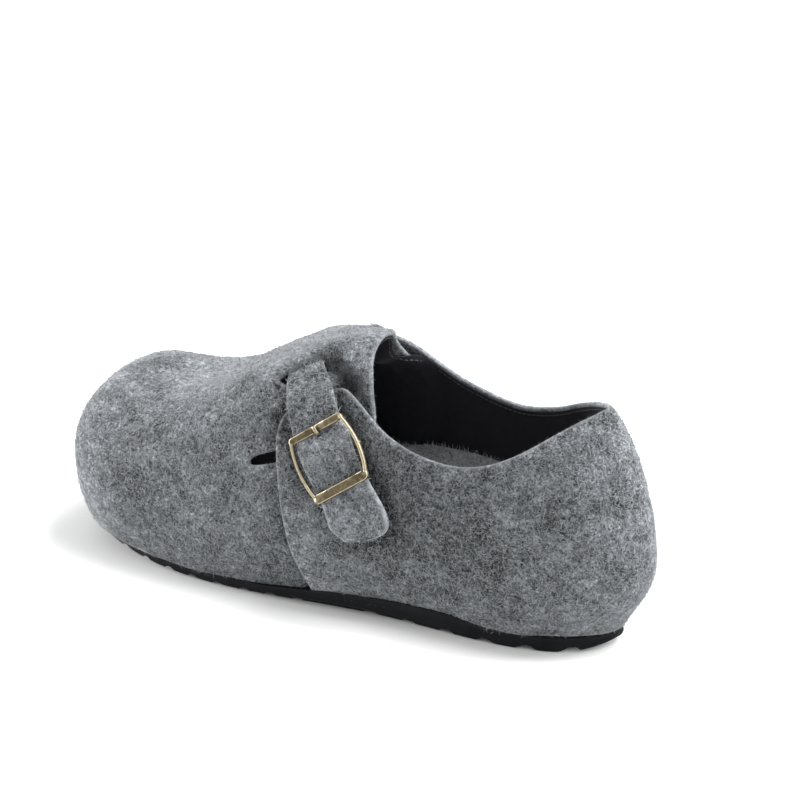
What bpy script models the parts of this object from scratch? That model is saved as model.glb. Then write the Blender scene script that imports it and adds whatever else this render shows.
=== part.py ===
"""Closed felt clog with an instep strap, a left shoe: outsole, footbed, upper, strap, buckle and rivet.

Sizes are millimetres until MM turns them into metres. Along runs from the heel (0) to the toe, across to the
inner side of the foot, height up from the floor. A point of the felt's skin is named by its station (0 at the
heel, LENGTH at the toe) and its girth (-1 at the outer sole edge, 0 on the ridge, 1 at the inner sole edge).
"""

import bmesh
import bpy
import numpy as np

MM = 0.001


def table(columns, *rows):
    """The columns of a table by name, each as an array."""
    return dict(zip(columns.split(), np.array(rows, float).T))


# Driving dimensions of the shoe
LENGTH = 262.0
WALL = 2.4
OVERLAY = 2.2
STRAP = 2.0
GAP = 0.35
WIDEST_GIRTH = 0.72
CREST_GIRTH = 0.34
CREST_TOP = 0.14
TOE_SPRING = 11.2
SPRING_START = 185.0

# Plan outline of the felt where it is widest
OUTLINE = table(
    "along across",
    (0, -6),  # back of the heel
    (28, -33),  # outer heel
    (105, -38.5),  # outer waist
    (170, -47.5),  # outer ball
    (220, -47),  # little toe
    (256, -34.5),  # outer toe
    (262, 7.5),  # toe tip
    (252.5, 37.5),  # big toe
    (190, 53),  # inner ball
    (110, 40),  # inner waist
    (31, 28),  # inner heel
)

# Ridge of the instep, over which the two sides of the felt meet
RIDGE = table(
    "along across height",
    (29.5, -0.5, 104),
    (80, -0.5, 114.5),
    (120, 0.5, 111.5),
    (150, 1.5, 104),
    (175, 3, 89.5),
    (200, 4.5, 76.5),
    (228, 6.5, 77),
)

# Cross sections: height of the widest line and of the sole edge without the toe spring, how far the felt
# tucks in below the widest line, and how square the section is above it
SECTION = table(
    "along widest sole_edge tuck squareness",
    (0, 32, 8.8, 12, 1.5),
    (30, 31.5, 8.2, 9.5, 1.6),
    (90, 30.5, 6.9, 5.3, 1.88),
    (190, 30.8, 4.8, 5.3, 2.17),
    (262, 32.5, 3.4, 6.4, 2.4),
)

# Edge of the quarter in side view, from the sole up its front, over the corner and along the collar
QUARTER = table(
    "outer_along outer_height inner_along inner_height",
    (131, -30, 131, -30),
    (133, 4, 134, 4),  # sole
    (141.4, 25, 142, 26),
    (146.5, 45, 149, 50),
    (150.5, 66, 155, 70),
    (151.6, 77, 158.5, 80.5),  # side slit
    (149.5, 83, 156.5, 87),
    (141.5, 88.4, 148.5, 93),  # under the strap
    (130.5, 93.8, 137.5, 98.8),  # front corner
    (123, 91.3, 129, 98),
    (114, 85.3, 118, 92),
    (100, 78, 102, 83.5),
    (85, 74.6, 86, 79.5),  # lowest point of the collar
    (70, 75.2, 70, 79),
    (52, 82.5, 52, 85.5),
    (35, 94, 35, 95.5),
    (18, 102.5, 18, 102.5),  # heel
    (-30, 110, -30, 110),
)
OVERLAY_FADE = (70.0, 120.0)

# Rear edge of the tongue and hidden rear edge of the vamp below it, in side view
VAMP = table(
    "along height",
    (127, -30),
    (127, 40),
    (113.4, 75),
    (122.6, 105),  # rear edge of the tongue
    (126, 118),
    (126, 150),
    (300, 150),
    (300, -30),
)

# Side slits in front of the quarter, in side view
SLIT = table(
    "outer_along outer_height inner_along inner_height",
    (145, 65.2, 152, 80.6),
    (161.5, 59.6, 172.5, 80.2),
    (163.8, 61, 174.8, 81.6),
    (162.6, 64, 173.6, 84.6),
    (145, 69.8, 152, 85.4),
)

# Strap from the end of its tail, through the buckle, in at the outer slot, below the tongue, out at the inner
# slot and down to its rivet: the two edges of each row, whether it lies on the quarter, the lift of its
# underside and its thickness
SEAT = 0.45
INSIDE = -(WALL + SEAT + STRAP)
STRAP_ROUTE = table(
    "front_station front_girth rear_station rear_girth on_quarter lift thickness",
    (118.2, -0.678, 107.8, -0.668, 1, SEAT, STRAP),  # tail end
    (123.2, -0.662, 102.2, -0.648, 1, SEAT, STRAP),
    (125.8, -0.641, 100.2, -0.618, 1, SEAT, STRAP),
    (127.2, -0.612, 105.8, -0.562, 1, SEAT, STRAP),
    (128.2, -0.580, 111.2, -0.513, 1, SEAT, STRAP),  # bottom bar
    (130.6, -0.556, 114.8, -0.490, 1, 1.9, STRAP),
    (135.1, -0.521, 119.4, -0.454, 1, 3.9, STRAP),  # centre bar
    (139.8, -0.483, 124.2, -0.415, 1, 2.9, STRAP),
    (143.8, -0.456, 127.1, -0.386, 1, SEAT, STRAP),  # top bar
    (152.0, -0.388, 135.6, -0.308, 1, SEAT, STRAP),  # edge of the quarter
    (158.5, -0.275, 142.3, -0.220, 0, SEAT, STRAP),
    (164.5, -0.222, 150.5, -0.137, 0, INSIDE, STRAP),  # outer slot
    (169.5, 0.0, 144.0, 0.0, 0, INSIDE, STRAP),
    (165.5, 0.185, 147.5, 0.130, 0, INSIDE, STRAP),  # inner slot
    (162.8, 0.255, 145.3, 0.195, 0, SEAT, STRAP),
    (160.6, 0.294, 142.4, 0.226, 1, SEAT, STRAP),  # edge of the quarter
    (154.5, 0.392, 133.8, 0.330, 1, SEAT, STRAP),
    (145.5, 0.505, 124.3, 0.445, 1, SEAT, 2 * STRAP),  # end of the upper layer
    (145.2, 0.509, 124.0, 0.449, 1, SEAT, STRAP),
    (138.5, 0.573, 118.0, 0.510, 1, SEAT, STRAP),
    (135.0, 0.595, 119.5, 0.553, 1, SEAT, STRAP),  # end of the tab
)
TAIL_BAR, CENTRE_BAR, TOP_BAR = 4, 6, 8
OUTER_SLOT, INNER_SLOT = (10, 11), (13, 14)
SLOT_MARGIN = 0.04

# Buckle
FRAME_WIDTH = 24.8
RAIL = 1.3
RAIL_HEIGHT = 1.8
RAIL_BOW = 1.5
TOP_BAR_SIZE = (3.0, 1.6)
BOTTOM_BAR_SIZE = (3.8, 2.4)
CENTRE_BAR_RADIUS = 0.8
EYE_RADIUS = 1.65
PRONG_WIDTH = 1.8
PRONG_THICK = 1.1
PRONG_HOLE = (6.6, 11.6)
NOTCH_FLOOR = 0.9
FRAME_CORNER = 1.2
RAIL_STEPS = 8
RAIL_LEVEL = 1.1
FRAME_LIFT = 1.2

# Rivet on the tab of the strap
RIVET_STATION = 128.6
RIVET_GIRTH = 0.518
RIVET_SHANK = 1.4
RIVET_CAP = 3.6

# Footbed: heights of its middle and of its outer and inner edges
FOOTBED = table(
    "along middle outer_edge inner_edge",
    (0, 30, 38, 38),
    (35, 24, 36, 38),
    (75, 25, 33, 47),
    (110, 26, 31, 48),
    (160, 21, 26, 36),
    (200, 18, 24, 25),
    (262, 26, 32, 32),
)

# Outsole: how far its side and its bottom edge stand inside the felt's lower edge, the bevel at the back of
# the heel, and the lugs, a groove between each pair
SIDE_SET_IN = 0.3
BOTTOM_SET_IN = 1.6
SIDE_FOOT = 1.6
HEEL_BEVEL = 6.0
HEEL_BEVEL_LENGTH = 20.0
LUGS = table("first last pitch", (26, 128, 17), (143, 240, 12.1))
GROOVE_WIDTH = 4.4
GROOVE_DEPTH = 2.2

COLUMNS = 34
LOW_ROWS = 4
HIGH_ROWS = 10
STRAP_COLUMNS = 4
STRAP_STEPS = 2

COLOURS = {
    "outsole": ((0.012, 0.013, 0.016), 0.75, 0.0),
    "footbed": ((0.16, 0.16, 0.17), 0.95, 0.0),
    "upper": ((0.19, 0.2, 0.21), 0.95, 0.0),
    "strap": ((0.21, 0.22, 0.23), 0.95, 0.0),
    "buckle_frame": ((0.36, 0.27, 0.13), 0.35, 1.0),
    "buckle_prong": ((0.38, 0.29, 0.15), 0.35, 1.0),
    "rivet": ((0.33, 0.25, 0.12), 0.4, 1.0),
}


def spline(known, values, at):
    """A smooth curve through the known values, level with the first and last of them outside."""
    known = np.asarray(known, float)
    values = np.asarray(values, float)
    step = np.diff(known)
    slope = np.diff(values) / step
    count = len(known)
    system = np.eye(count)
    right = np.zeros(count)
    for i in range(1, count - 1):
        system[i, i - 1 : i + 2] = step[i - 1], 2 * (step[i - 1] + step[i]), step[i]
        right[i] = 6 * (slope[i] - slope[i - 1])
    bend = np.linalg.solve(system, right)
    at = np.clip(np.asarray(at, float), known[0], known[-1])
    i = np.clip(np.searchsorted(known, at) - 1, 0, count - 2)
    after = (at - known[i]) / step[i]
    before = 1 - after
    curve = (before**3 - before) * bend[i] + (after**3 - after) * bend[i + 1]
    return before * values[i] + after * values[i + 1] + curve * step[i] ** 2 / 6


def smooth_path(points, count):
    """Points along a smooth curve through the given ones, evenly spread by their distances."""
    points = np.asarray(points, float)
    mark = np.r_[0, np.cumsum(np.linalg.norm(np.diff(points, axis=0), axis=1))]
    at = np.linspace(0, mark[-1], count)
    return np.stack([spline(mark, column, at) for column in points.T], 1)


def outline_halves():
    """The outer and the inner half of the plan outline, each as (along, across) from heel to toe."""
    along = np.tile(OUTLINE["along"], 3)
    across = np.tile(OUTLINE["across"], 3)
    mark = np.r_[0, np.cumsum(np.hypot(np.diff(along), np.diff(across)) ** 0.7)]
    count = len(OUTLINE["along"])
    dense = np.linspace(mark[count], mark[2 * count], 2000, endpoint=False)
    ring = np.stack([spline(mark, along, dense), spline(mark, across, dense)], 1)
    ring = np.roll(ring, -ring[:, 0].argmin(), 0)
    ring[:, 0] = (ring[:, 0] - ring[:, 0].min()) / np.ptp(ring[:, 0]) * LENGTH
    toe = ring[:, 0].argmax()
    return ring[: toe + 1], np.vstack([ring[toe:], ring[:1]])[::-1]


OUTER, INNER = outline_halves()
MIDDLE_ACROSS = (OUTER[:, 1].min() + INNER[:, 1].max()) / 2


def place(along, across, height):
    """Points of the shoe in its own axes, toe towards -X, as (..., 3) millimetres."""
    along, across, height = np.broadcast_arrays(along, across, height)
    return np.stack([LENGTH / 2 - along, across - MIDDLE_ACROSS, height], -1)


def section(column, along):
    return spline(SECTION["along"], SECTION[column], along)


def spring(along):
    """Rise of the toe off the floor."""
    return TOE_SPRING * (np.clip(along - SPRING_START, 0, None) / (LENGTH - SPRING_START)) ** 2


def sole_edge(along):
    """Height of the line where felt and sole meet."""
    return section("sole_edge", along) + spring(along)


def overlay(along):
    """How far the quarter stands out over the vamp's skin."""
    share = np.clip((along - OVERLAY_FADE[0]) / (OVERLAY_FADE[1] - OVERLAY_FADE[0]), 0, 1)
    return OVERLAY * share * share * (3 - 2 * share)


def edge_and_spine(station, inner_side):
    """Plan points of the widest outline and of the ridge that it leans to."""
    across = np.where(
        inner_side, np.interp(station, *INNER.T), np.interp(station, *OUTER.T)
    )
    first, last = RIDGE["along"][[0, -1]]
    spine_along = first + (last - first) * station / LENGTH
    spine_across = spline(RIDGE["along"], RIDGE["across"], spine_along)
    return np.stack([station + 0 * across, across], -1), np.stack([spine_along, spine_across], -1)


def skin(station, girth):
    """Points on the outside of the vamp's felt."""
    station, girth = np.broadcast_arrays(np.asarray(station, float), np.asarray(girth, float))
    edge, spine = edge_and_spine(station, girth > 0)
    lean = spine - edge
    unit = lean / np.linalg.norm(lean, axis=-1, keepdims=True)
    share = np.abs(girth)
    turn = np.clip(1 - share / WIDEST_GIRTH, 0, 1) * np.pi / 2
    low = np.clip((1 - share) / (1 - WIDEST_GIRTH), 0, 1)
    power = 2 / section("squareness", spine[..., 0])
    inward = 1 - np.clip(np.cos(turn), 0, 1) ** power
    rise = np.sin(turn) ** power
    tuck = section("tuck", station) * (1 - low) ** 2
    plan = edge + lean * inward[..., None] + unit * tuck[..., None]
    bottom = sole_edge(station)
    widest = section("widest", station) + 0.8 * spring(station)
    top = spline(RIDGE["along"], RIDGE["height"], spine[..., 0])
    height = np.where(share > WIDEST_GIRTH, bottom + (widest - bottom) * low, widest + (top - widest) * rise)
    return place(plan[..., 0], plan[..., 1], height)


def skin_normal(station, girth):
    """Outward unit normals of the skin, away from heel and toe."""
    forward = skin(station + 0.5, girth) - skin(station - 0.5, girth)
    around = skin(station, girth + 0.004) - skin(station, girth - 0.004)
    normal = np.cross(around, forward)
    return normal / np.linalg.norm(normal, axis=-1, keepdims=True)


def stations():
    """Stations from heel to toe, closer together at both ends."""
    return LENGTH * (1 - np.cos(np.linspace(0, np.pi, COLUMNS + 1))) / 2


def ring_of(outer, inner):
    """One closed ring from the columns of both sides, which share their first and last."""
    return np.concatenate([outer, inner[..., -2:0:-1, :]], axis=-2)


def middle_line(ring):
    """Line from heel to toe midway between the two sides of a ring."""
    return 0.5 * (ring[: COLUMNS + 1] + np.roll(ring[::-1], 1, 0)[: COLUMNS + 1])


def unit_rows(vectors):
    return vectors / np.linalg.norm(vectors, axis=-1, keepdims=True)


def skin_rings():
    """Rings of skin points from the sole edge up, the ridge line, and the outward normals of both."""
    station = stations()
    shares = np.r_[
        np.linspace(1, WIDEST_GIRTH, LOW_ROWS, endpoint=False),
        np.linspace(WIDEST_GIRTH, 0, HIGH_ROWS, endpoint=False),
    ]
    outer = skin(station[None, :], -shares[:, None])
    inner = skin(station[None, :], shares[:, None])
    rings = ring_of(outer, inner)
    ridge = skin(station, 0.0)
    rows = np.concatenate([rings, ring_of(ridge, ridge)[None]])
    climb = np.gradient(rows, axis=0)[:-1]
    run = np.roll(rings, -1, 1) - np.roll(rings, 1, 1)
    upright = np.clip((CREST_GIRTH - shares) / (CREST_GIRTH - CREST_TOP), 0, 1)[:, None, None]
    normals = unit_rows(np.cross(climb, run)) * (1 - upright) + np.array([0, 0, 1.0]) * upright
    return rings, ridge, unit_rows(normals), np.array([0, 0, 1.0]) + 0 * ridge


def new_object(name, points, faces):
    """A mesh object from millimetre points, its faces turned outwards."""
    mesh = bpy.data.meshes.new(name)
    mesh.from_pydata((np.asarray(points) * MM).tolist(), [], faces)
    shape = bmesh.new()
    shape.from_mesh(mesh)
    bmesh.ops.remove_doubles(shape, verts=shape.verts, dist=0.001 * MM)
    bmesh.ops.recalc_face_normals(shape, faces=shape.faces)
    bmesh.ops.triangulate(shape, faces=shape.faces)
    shape.to_mesh(mesh)
    shape.free()
    obj = bpy.data.objects.new(name, mesh)
    bpy.context.scene.collection.objects.link(obj)
    return obj


def ring_body(name, rings, bottom, top):
    """A closed body of rings from the bottom up, closed below and above by a line from heel to toe."""
    count = rings.shape[1]
    half = count // 2
    line = [j if j <= half else count - j for j in range(count)]
    points = np.concatenate([bottom, rings.reshape(-1, 3), top])
    first_top = len(points) - len(top)
    faces = []
    for j in range(count):
        k = (j + 1) % count
        rows = [half + 1 + row * count for row in range(len(rings))]
        faces.append((line[j], line[k], rows[0] + k, rows[0] + j))
        for low, high in zip(rows, rows[1:]):
            faces.append((low + j, low + k, high + k, high + j))
        faces.append((rows[-1] + j, rows[-1] + k, first_top + line[k], first_top + line[j]))
    return new_object(name, points, faces)


def loft(name, rows, closed=False):
    """A closed body through closed rows of points, back to its first row or with its two end rows as caps."""
    rows = np.asarray(rows, float)
    count = rows.shape[1]
    faces = [] if closed else [tuple(range(count)), tuple(range((len(rows) - 1) * count, len(rows) * count))]
    for row in range(len(rows) if closed else len(rows) - 1):
        low = row * count
        high = (row + 1) % len(rows) * count
        for j in range(count):
            k = (j + 1) % count
            faces.append((low + j, low + k, high + k, high + j))
    return new_object(name, rows.reshape(-1, 3), faces)


def side_prism(name, *outlines):
    """A cutter through the shoe: side-view outlines (along, height), each at its own distance across."""
    rows = [place(points[:, 0], across, points[:, 1]) for across, points in outlines]
    return as_cutter(loft(name, rows))


def as_cutter(obj):
    obj.hide_render = True
    obj.display_type = "WIRE"
    return obj


def boolean(obj, operation, other):
    modifier = obj.modifiers.new(f"{operation.lower()} {other.name}", "BOOLEAN")
    modifier.operation = operation
    modifier.object = other


def felt_body(name, offset, drop):
    """The full form inside the skin moved out by an offset, reaching below the sole edge by a drop."""
    rings, ridge, normals, top_normals = skin_rings()
    along = LENGTH / 2 - rings[..., 0]
    ridge_along = LENGTH / 2 - ridge[:, 0]
    rings = rings + normals * offset(along)[..., None]
    ridge = ridge + top_normals * offset(ridge_along)[:, None]
    foot = rings[:1] - np.array([0, 0, drop])
    return as_cutter(ring_body(name, np.concatenate([foot, rings]), middle_line(foot[0]), ridge))


def make_upper():
    """Vamp with tongue, slits and slots, joined with the quarter that lies over it, hollow and open below."""
    quarter_edge = [
        smooth_path(np.stack([QUARTER[f"{side}_along"], QUARTER[f"{side}_height"]], 1), 48)
        for side in ("outer", "inner")
    ]
    back = np.array([(-30.0, -30.0)])
    outer, inner = [np.vstack([edge, back]) for edge in quarter_edge]
    quarter_form = side_prism("quarter_form", (-90, outer), (-12, outer), (8, inner), (90, inner))
    vamp_points = np.stack([VAMP["along"], VAMP["height"]], 1)
    vamp_form = side_prism("vamp_form", (-90, vamp_points), (90, vamp_points))

    vamp = felt_body("vamp", lambda along: 0 * along, 4.0)
    boolean(vamp, "INTERSECT", vamp_form)
    for side, reach in (("outer", (-80, -15)), ("inner", (15, 80))):
        slit = np.stack([SLIT[f"{side}_along"], SLIT[f"{side}_height"]], 1)
        boolean(vamp, "DIFFERENCE", side_prism(f"{side}_slit", (reach[0], slit), (reach[1], slit)))
    for name, rows in (("outer_slot", OUTER_SLOT), ("inner_slot", INNER_SLOT)):
        boolean(vamp, "DIFFERENCE", strap_slot(name, rows))

    upper = felt_body("upper", overlay, 5.0)
    upper.hide_render = False
    upper.display_type = "TEXTURED"
    boolean(upper, "INTERSECT", quarter_form)
    boolean(upper, "UNION", vamp)
    boolean(upper, "DIFFERENCE", felt_body("foot_space", lambda along: 0 * along - WALL, 9.0))
    along = np.linspace(-20, LENGTH + 20, 60)
    floor_line = np.stack([along, sole_edge(along)], 1)
    floor_line = np.vstack([floor_line, [(LENGTH + 20, -40), (-20, -40)]])
    boolean(upper, "DIFFERENCE", side_prism("sole_form", (-90, floor_line), (90, floor_line)))
    boolean(upper, "DIFFERENCE", rivet_hole("upper_rivet_hole"))
    return upper


def route_rows(first, last, steps):
    """Rows of the strap's route, some steps between each two: edges, underside and thickness."""
    at = np.arange(first, last + 1e-6, 1 / steps)
    known = np.arange(len(STRAP_ROUTE["lift"]))
    rows = {column: np.interp(at, known, values) for column, values in STRAP_ROUTE.items()}
    return rows


def ribbon_rows(rows, under, over, margin=0.0, columns=STRAP_COLUMNS):
    """Closed sections of a band on the skin, between two heights above it, a margin wider at both edges."""
    share = np.linspace(-margin, 1 + margin, columns + 1)
    station = rows["front_station"][:, None] * (1 - share) + rows["rear_station"][:, None] * share
    girth = rows["front_girth"][:, None] * (1 - share) + rows["rear_girth"][:, None] * share
    point = skin(station, girth)
    normal = skin_normal(station, girth)
    low = point + normal * under(point, rows)[..., None]
    high = point + normal * over(point, rows)[..., None]
    return np.concatenate([low, high[:, ::-1]], axis=1)


def strap_under(point, rows):
    along = LENGTH / 2 - point[..., 0]
    return rows["on_quarter"][:, None] * overlay(along) + rows["lift"][:, None]


def strap_over(point, rows):
    return strap_under(point, rows) + rows["thickness"][:, None]


def strap_slot(name, ends):
    """The opening in the vamp where the strap goes through, a little wider than the strap."""
    rows = route_rows(*ends, 2)

    def level(height):
        return lambda point, _: np.full(point.shape[:-1], height)

    return as_cutter(loft(name, ribbon_rows(rows, level(-8.0), level(6.0), SLOT_MARGIN)))


def make_strap():
    rows = route_rows(0, len(STRAP_ROUTE["lift"]) - 1, STRAP_STEPS)
    strap = loft("strap", ribbon_rows(rows, strap_under, strap_over))
    seat = buckle_seat()
    beside = PRONG_WIDTH / 2 + GAP
    hole = seat_box("prong_hole", seat, PRONG_HOLE, (-beside, beside), (-8, 10))
    boolean(strap, "DIFFERENCE", as_cutter(hole))
    boolean(strap, "DIFFERENCE", rivet_hole("strap_rivet_hole"))
    return strap


def strap_middle(row):
    """Middle of the strap's route at one row: skin point and normal, and the direction from front to rear."""
    front = np.array([STRAP_ROUTE["front_station"][row], STRAP_ROUTE["front_girth"][row]])
    rear = np.array([STRAP_ROUTE["rear_station"][row], STRAP_ROUTE["rear_girth"][row]])
    middle = (front + rear) / 2
    return skin(*middle), skin_normal(*middle), skin(*rear) - skin(*front)


def buckle_seat():
    """Axes of the buckle: up the strap, over its width and out, from the middle of its two bar seats."""
    seats = []
    for row in (TAIL_BAR, TOP_BAR):
        point, normal, _ = strap_middle(row)
        along = LENGTH / 2 - point[0]
        seats.append(point + normal * (overlay(along) + SEAT + STRAP + FRAME_LIFT))
    _, out, width = strap_middle(CENTRE_BAR)
    up = seats[1] - seats[0]
    length = np.linalg.norm(up)
    up = up / length
    out = out - up * (out @ up)
    out = out / np.linalg.norm(out)
    width = np.cross(out, up)
    return {"origin": (seats[0] + seats[1]) / 2, "up": up, "width": width, "out": out, "length": length}


def seat_points(seat, up, width, out):
    """Points given in the buckle's axes."""
    up, width, out = np.broadcast_arrays(up, width, out)
    return (
        seat["origin"]
        + up[..., None] * seat["up"]
        + width[..., None] * seat["width"]
        + out[..., None] * seat["out"]
    )


def seat_box(name, seat, up, width, out):
    """A box in the buckle's axes, between two values along each."""
    corners = np.array([(0, 0), (1, 0), (1, 1), (0, 1)])
    ups = np.array(up)[corners[:, 0]]
    widths = np.array(width)[corners[:, 1]]
    return loft(name, [seat_points(seat, ups, widths, level) for level in out])


def rounded_section(width, height, corner):
    """Corner points of a rectangle with rounded corners, its middle at the origin."""
    points = []
    for quarter in range(4):
        for step in range(3):
            angle = np.pi / 2 * (quarter + step / 2)
            middle_x = (width / 2 - corner) * (1 if quarter in (0, 3) else -1)
            middle_y = (height / 2 - corner) * (1 if quarter in (0, 1) else -1)
            points.append((middle_x + corner * np.cos(angle), middle_y + corner * np.sin(angle)))
    return np.array(points)


def make_buckle_frame(seat):
    """Two bars and two bowed rails in one loop, with a centre bar below the rails and a notch for the prong."""
    half = seat["length"] / 2
    reach = (FRAME_WIDTH - RAIL) / 2
    loop = []
    for corner in range(4):
        for angle in np.radians([0, 30, 60, 90]) + corner * np.pi / 2:
            up = np.sign(np.cos(corner * np.pi / 2 + 0.7)) * (half - FRAME_CORNER)
            width = np.sign(np.sin(corner * np.pi / 2 + 0.7)) * (reach - FRAME_CORNER)
            loop.append((up + FRAME_CORNER * np.cos(angle), width + FRAME_CORNER * np.sin(angle), angle))
        if corner % 2 == 0:
            (up, width, angle) = loop[-1]
            for share in np.linspace(1, -1, RAIL_STEPS + 1)[1:-1]:
                loop.append((up * share, width + np.sign(width) * RAIL_BOW * (1 - share**2), angle))
    rows = []
    for up, width, angle in loop:
        rail = np.sin(angle) ** 2
        bar = TOP_BAR_SIZE if up > 0 else BOTTOM_BAR_SIZE
        depth = bar[0] * (1 - rail) + RAIL * rail
        height = bar[1] * (1 - rail) + RAIL_HEIGHT * rail
        shape = rounded_section(depth, height, 0.45)
        out = bar[1] / 2 * (1 - rail) + RAIL_LEVEL * rail + shape[:, 1]
        rows.append(seat_points(seat, up + shape[:, 0] * np.cos(angle), width + shape[:, 0] * np.sin(angle), out))
    frame = loft("buckle_frame", rows, closed=True)
    level = centre_height(seat)
    bend = 1.2
    side = reach + RAIL_BOW
    path = [(-side, RAIL_LEVEL), (-side, level + bend), (-side + bend, level)]
    path = np.array(path + [(-width, out) for width, out in path[::-1]])
    slope = unit_rows(np.gradient(path, axis=0))
    turn = np.linspace(0, 2 * np.pi, 8, endpoint=False) + 0.2
    rows = []
    for (width, out), (run, rise) in zip(path, slope):
        off = CENTRE_BAR_RADIUS * np.sin(turn)
        rows.append(seat_points(seat, CENTRE_BAR_RADIUS * np.cos(turn), width - rise * off, out + run * off))
    boolean(frame, "UNION", as_cutter(loft("centre_bar", rows)))
    beside = PRONG_WIDTH / 2 + GAP
    notch = seat_box("prong_notch", seat, (half - 4, half + 4), (-beside, beside), (NOTCH_FLOOR, 5))
    boolean(frame, "DIFFERENCE", as_cutter(notch))
    return frame


def centre_height(seat):
    """Height of the centre bar in the buckle's axes: its eye clears the quarter below it."""
    point, normal, _ = strap_middle(CENTRE_BAR)
    along = LENGTH / 2 - point[0]
    surface = point + normal * overlay(along)
    return (surface - seat["origin"]) @ seat["out"] + GAP + EYE_RADIUS


def make_prong(seat):
    """A tongue from an eye round the centre bar, below the strap, through its hole and onto the top bar."""
    half = seat["length"] / 2
    level = centre_height(seat)
    turn = np.linspace(0, 2 * np.pi, 14, endpoint=False)
    rows = [
        seat_points(seat, EYE_RADIUS * np.cos(turn), width, level + EYE_RADIUS * np.sin(turn))
        for width in (-PRONG_WIDTH / 2, PRONG_WIDTH / 2)
    ]
    prong = loft("buckle_prong", rows)
    path = smooth_path(
        [
            (1.1, level),
            (5.0, level - 0.5),
            (7.7, -0.7),
            (9.2, 0.4),
            (half - 2.1, 1.5),
            (half - 0.4, NOTCH_FLOOR + GAP + PRONG_THICK / 2),
            (half + 1.3, NOTCH_FLOOR + GAP + PRONG_THICK / 2),
        ],
        14,
    )
    slope = unit_rows(np.gradient(path, axis=0))
    rows = []
    for (up, out), (run, rise) in zip(path, slope):
        shape = rounded_section(PRONG_WIDTH - 0.2, PRONG_THICK, 0.4)
        rows.append(seat_points(seat, up - rise * shape[:, 1], shape[:, 0], out + run * shape[:, 1]))
    boolean(prong, "UNION", as_cutter(loft("prong_shank", rows)))
    rows = [
        seat_points(
            seat,
            (CENTRE_BAR_RADIUS + 0.25) * np.cos(turn),
            width,
            level + (CENTRE_BAR_RADIUS + 0.25) * np.sin(turn),
        )
        for width in (-PRONG_WIDTH, PRONG_WIDTH)
    ]
    boolean(prong, "DIFFERENCE", as_cutter(loft("prong_eye", rows)))
    return prong


def rivet_axes():
    """The rivet's seat on the skin, its outward axis and two directions across it."""
    origin = skin(RIVET_STATION, RIVET_GIRTH)
    out = skin_normal(RIVET_STATION, RIVET_GIRTH)
    side = unit_rows(np.cross(out, (0.0, 0.0, 1.0)))
    return origin, out, side, np.cross(out, side)


def turned(name, profile, sides=16):
    """A body turned about the rivet's axis, from (radius, height) points that start and end on the axis."""
    origin, out, side, other = rivet_axes()
    turn = np.linspace(0, 2 * np.pi, sides, endpoint=False)[:, None]
    circle = np.cos(turn) * side + np.sin(turn) * other
    rows = [origin + out * height + circle * radius for radius, height in profile]
    return loft(name, rows)


def rivet_hole(name):
    radius = RIVET_SHANK + GAP
    return as_cutter(turned(name, [(radius, -9), (radius, 12)]))


def make_rivet():
    along = LENGTH / 2 - rivet_axes()[0][0]
    top = overlay(along) + SEAT + STRAP + GAP
    back = -WALL - 1.5 * GAP
    profile = [
        (3.2, back - 0.9),
        (3.8, back - 0.5),
        (3.8, back),
        (RIVET_SHANK, back),
        (RIVET_SHANK, top),
        (RIVET_CAP, top),
        (RIVET_CAP, top + 0.5),
        (RIVET_CAP * 0.8, top + 1.1),
        (RIVET_CAP * 0.4, top + 1.45),
    ]
    return turned("rivet", profile)


def make_footbed():
    """Contoured insole: cupped heel, raised inner arch, sides that follow the inside of the upper."""
    rings, _, normals, _ = skin_rings()
    inside = rings - normals * (WALL + GAP)
    station = stations()
    edges = ring_of(
        *[
            np.stack([station, spline(FOOTBED["along"], FOOTBED[column], station)], 1)
            for column in ("outer_edge", "inner_edge")
        ]
    )[:, 1]
    lowest = inside[0, :, 2]
    levels = lowest + (edges - lowest) * np.linspace(0, 1, 4)[:, None]
    sides = np.empty((5, *inside[0].shape))
    sides[0] = inside[0]
    sides[0, :, 2] = sole_edge(LENGTH / 2 - inside[0, :, 0])
    for j in range(inside.shape[1]):
        for axis in range(3):
            sides[1:, j, axis] = np.interp(levels[:, j], inside[:, j, 2], inside[:, j, axis])
    bottom = middle_line(sides[0])
    rim = sides[-1]
    spine = middle_line(rim)
    first, last = 14, LENGTH - 14
    along = np.clip(LENGTH / 2 - spine[:, 0], first, last)
    spine[:, 0] = LENGTH / 2 - along
    spine[:, 2] = spline(FOOTBED["along"], FOOTBED["middle"], along)
    centre = ring_of(spine, spine)
    dish = []
    for share in (0.2, 0.45, 0.72):
        ring = rim + (centre - rim) * share
        ring[:, 2] = centre[:, 2] + (rim[:, 2] - centre[:, 2]) * (1 - share) ** 2
        dish.append(ring)
    return ring_body("footbed", np.concatenate([sides, dish]), bottom, spine)


def sole_heights(along):
    """Heights of the sole's bottom and of its top."""
    heel = section("tuck", 0) + BOTTOM_SET_IN
    bevel = HEEL_BEVEL * np.clip(1 - (along - heel) / HEEL_BEVEL_LENGTH, 0, 1) ** 2
    return spring(along) + bevel, sole_edge(along) - GAP


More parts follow.
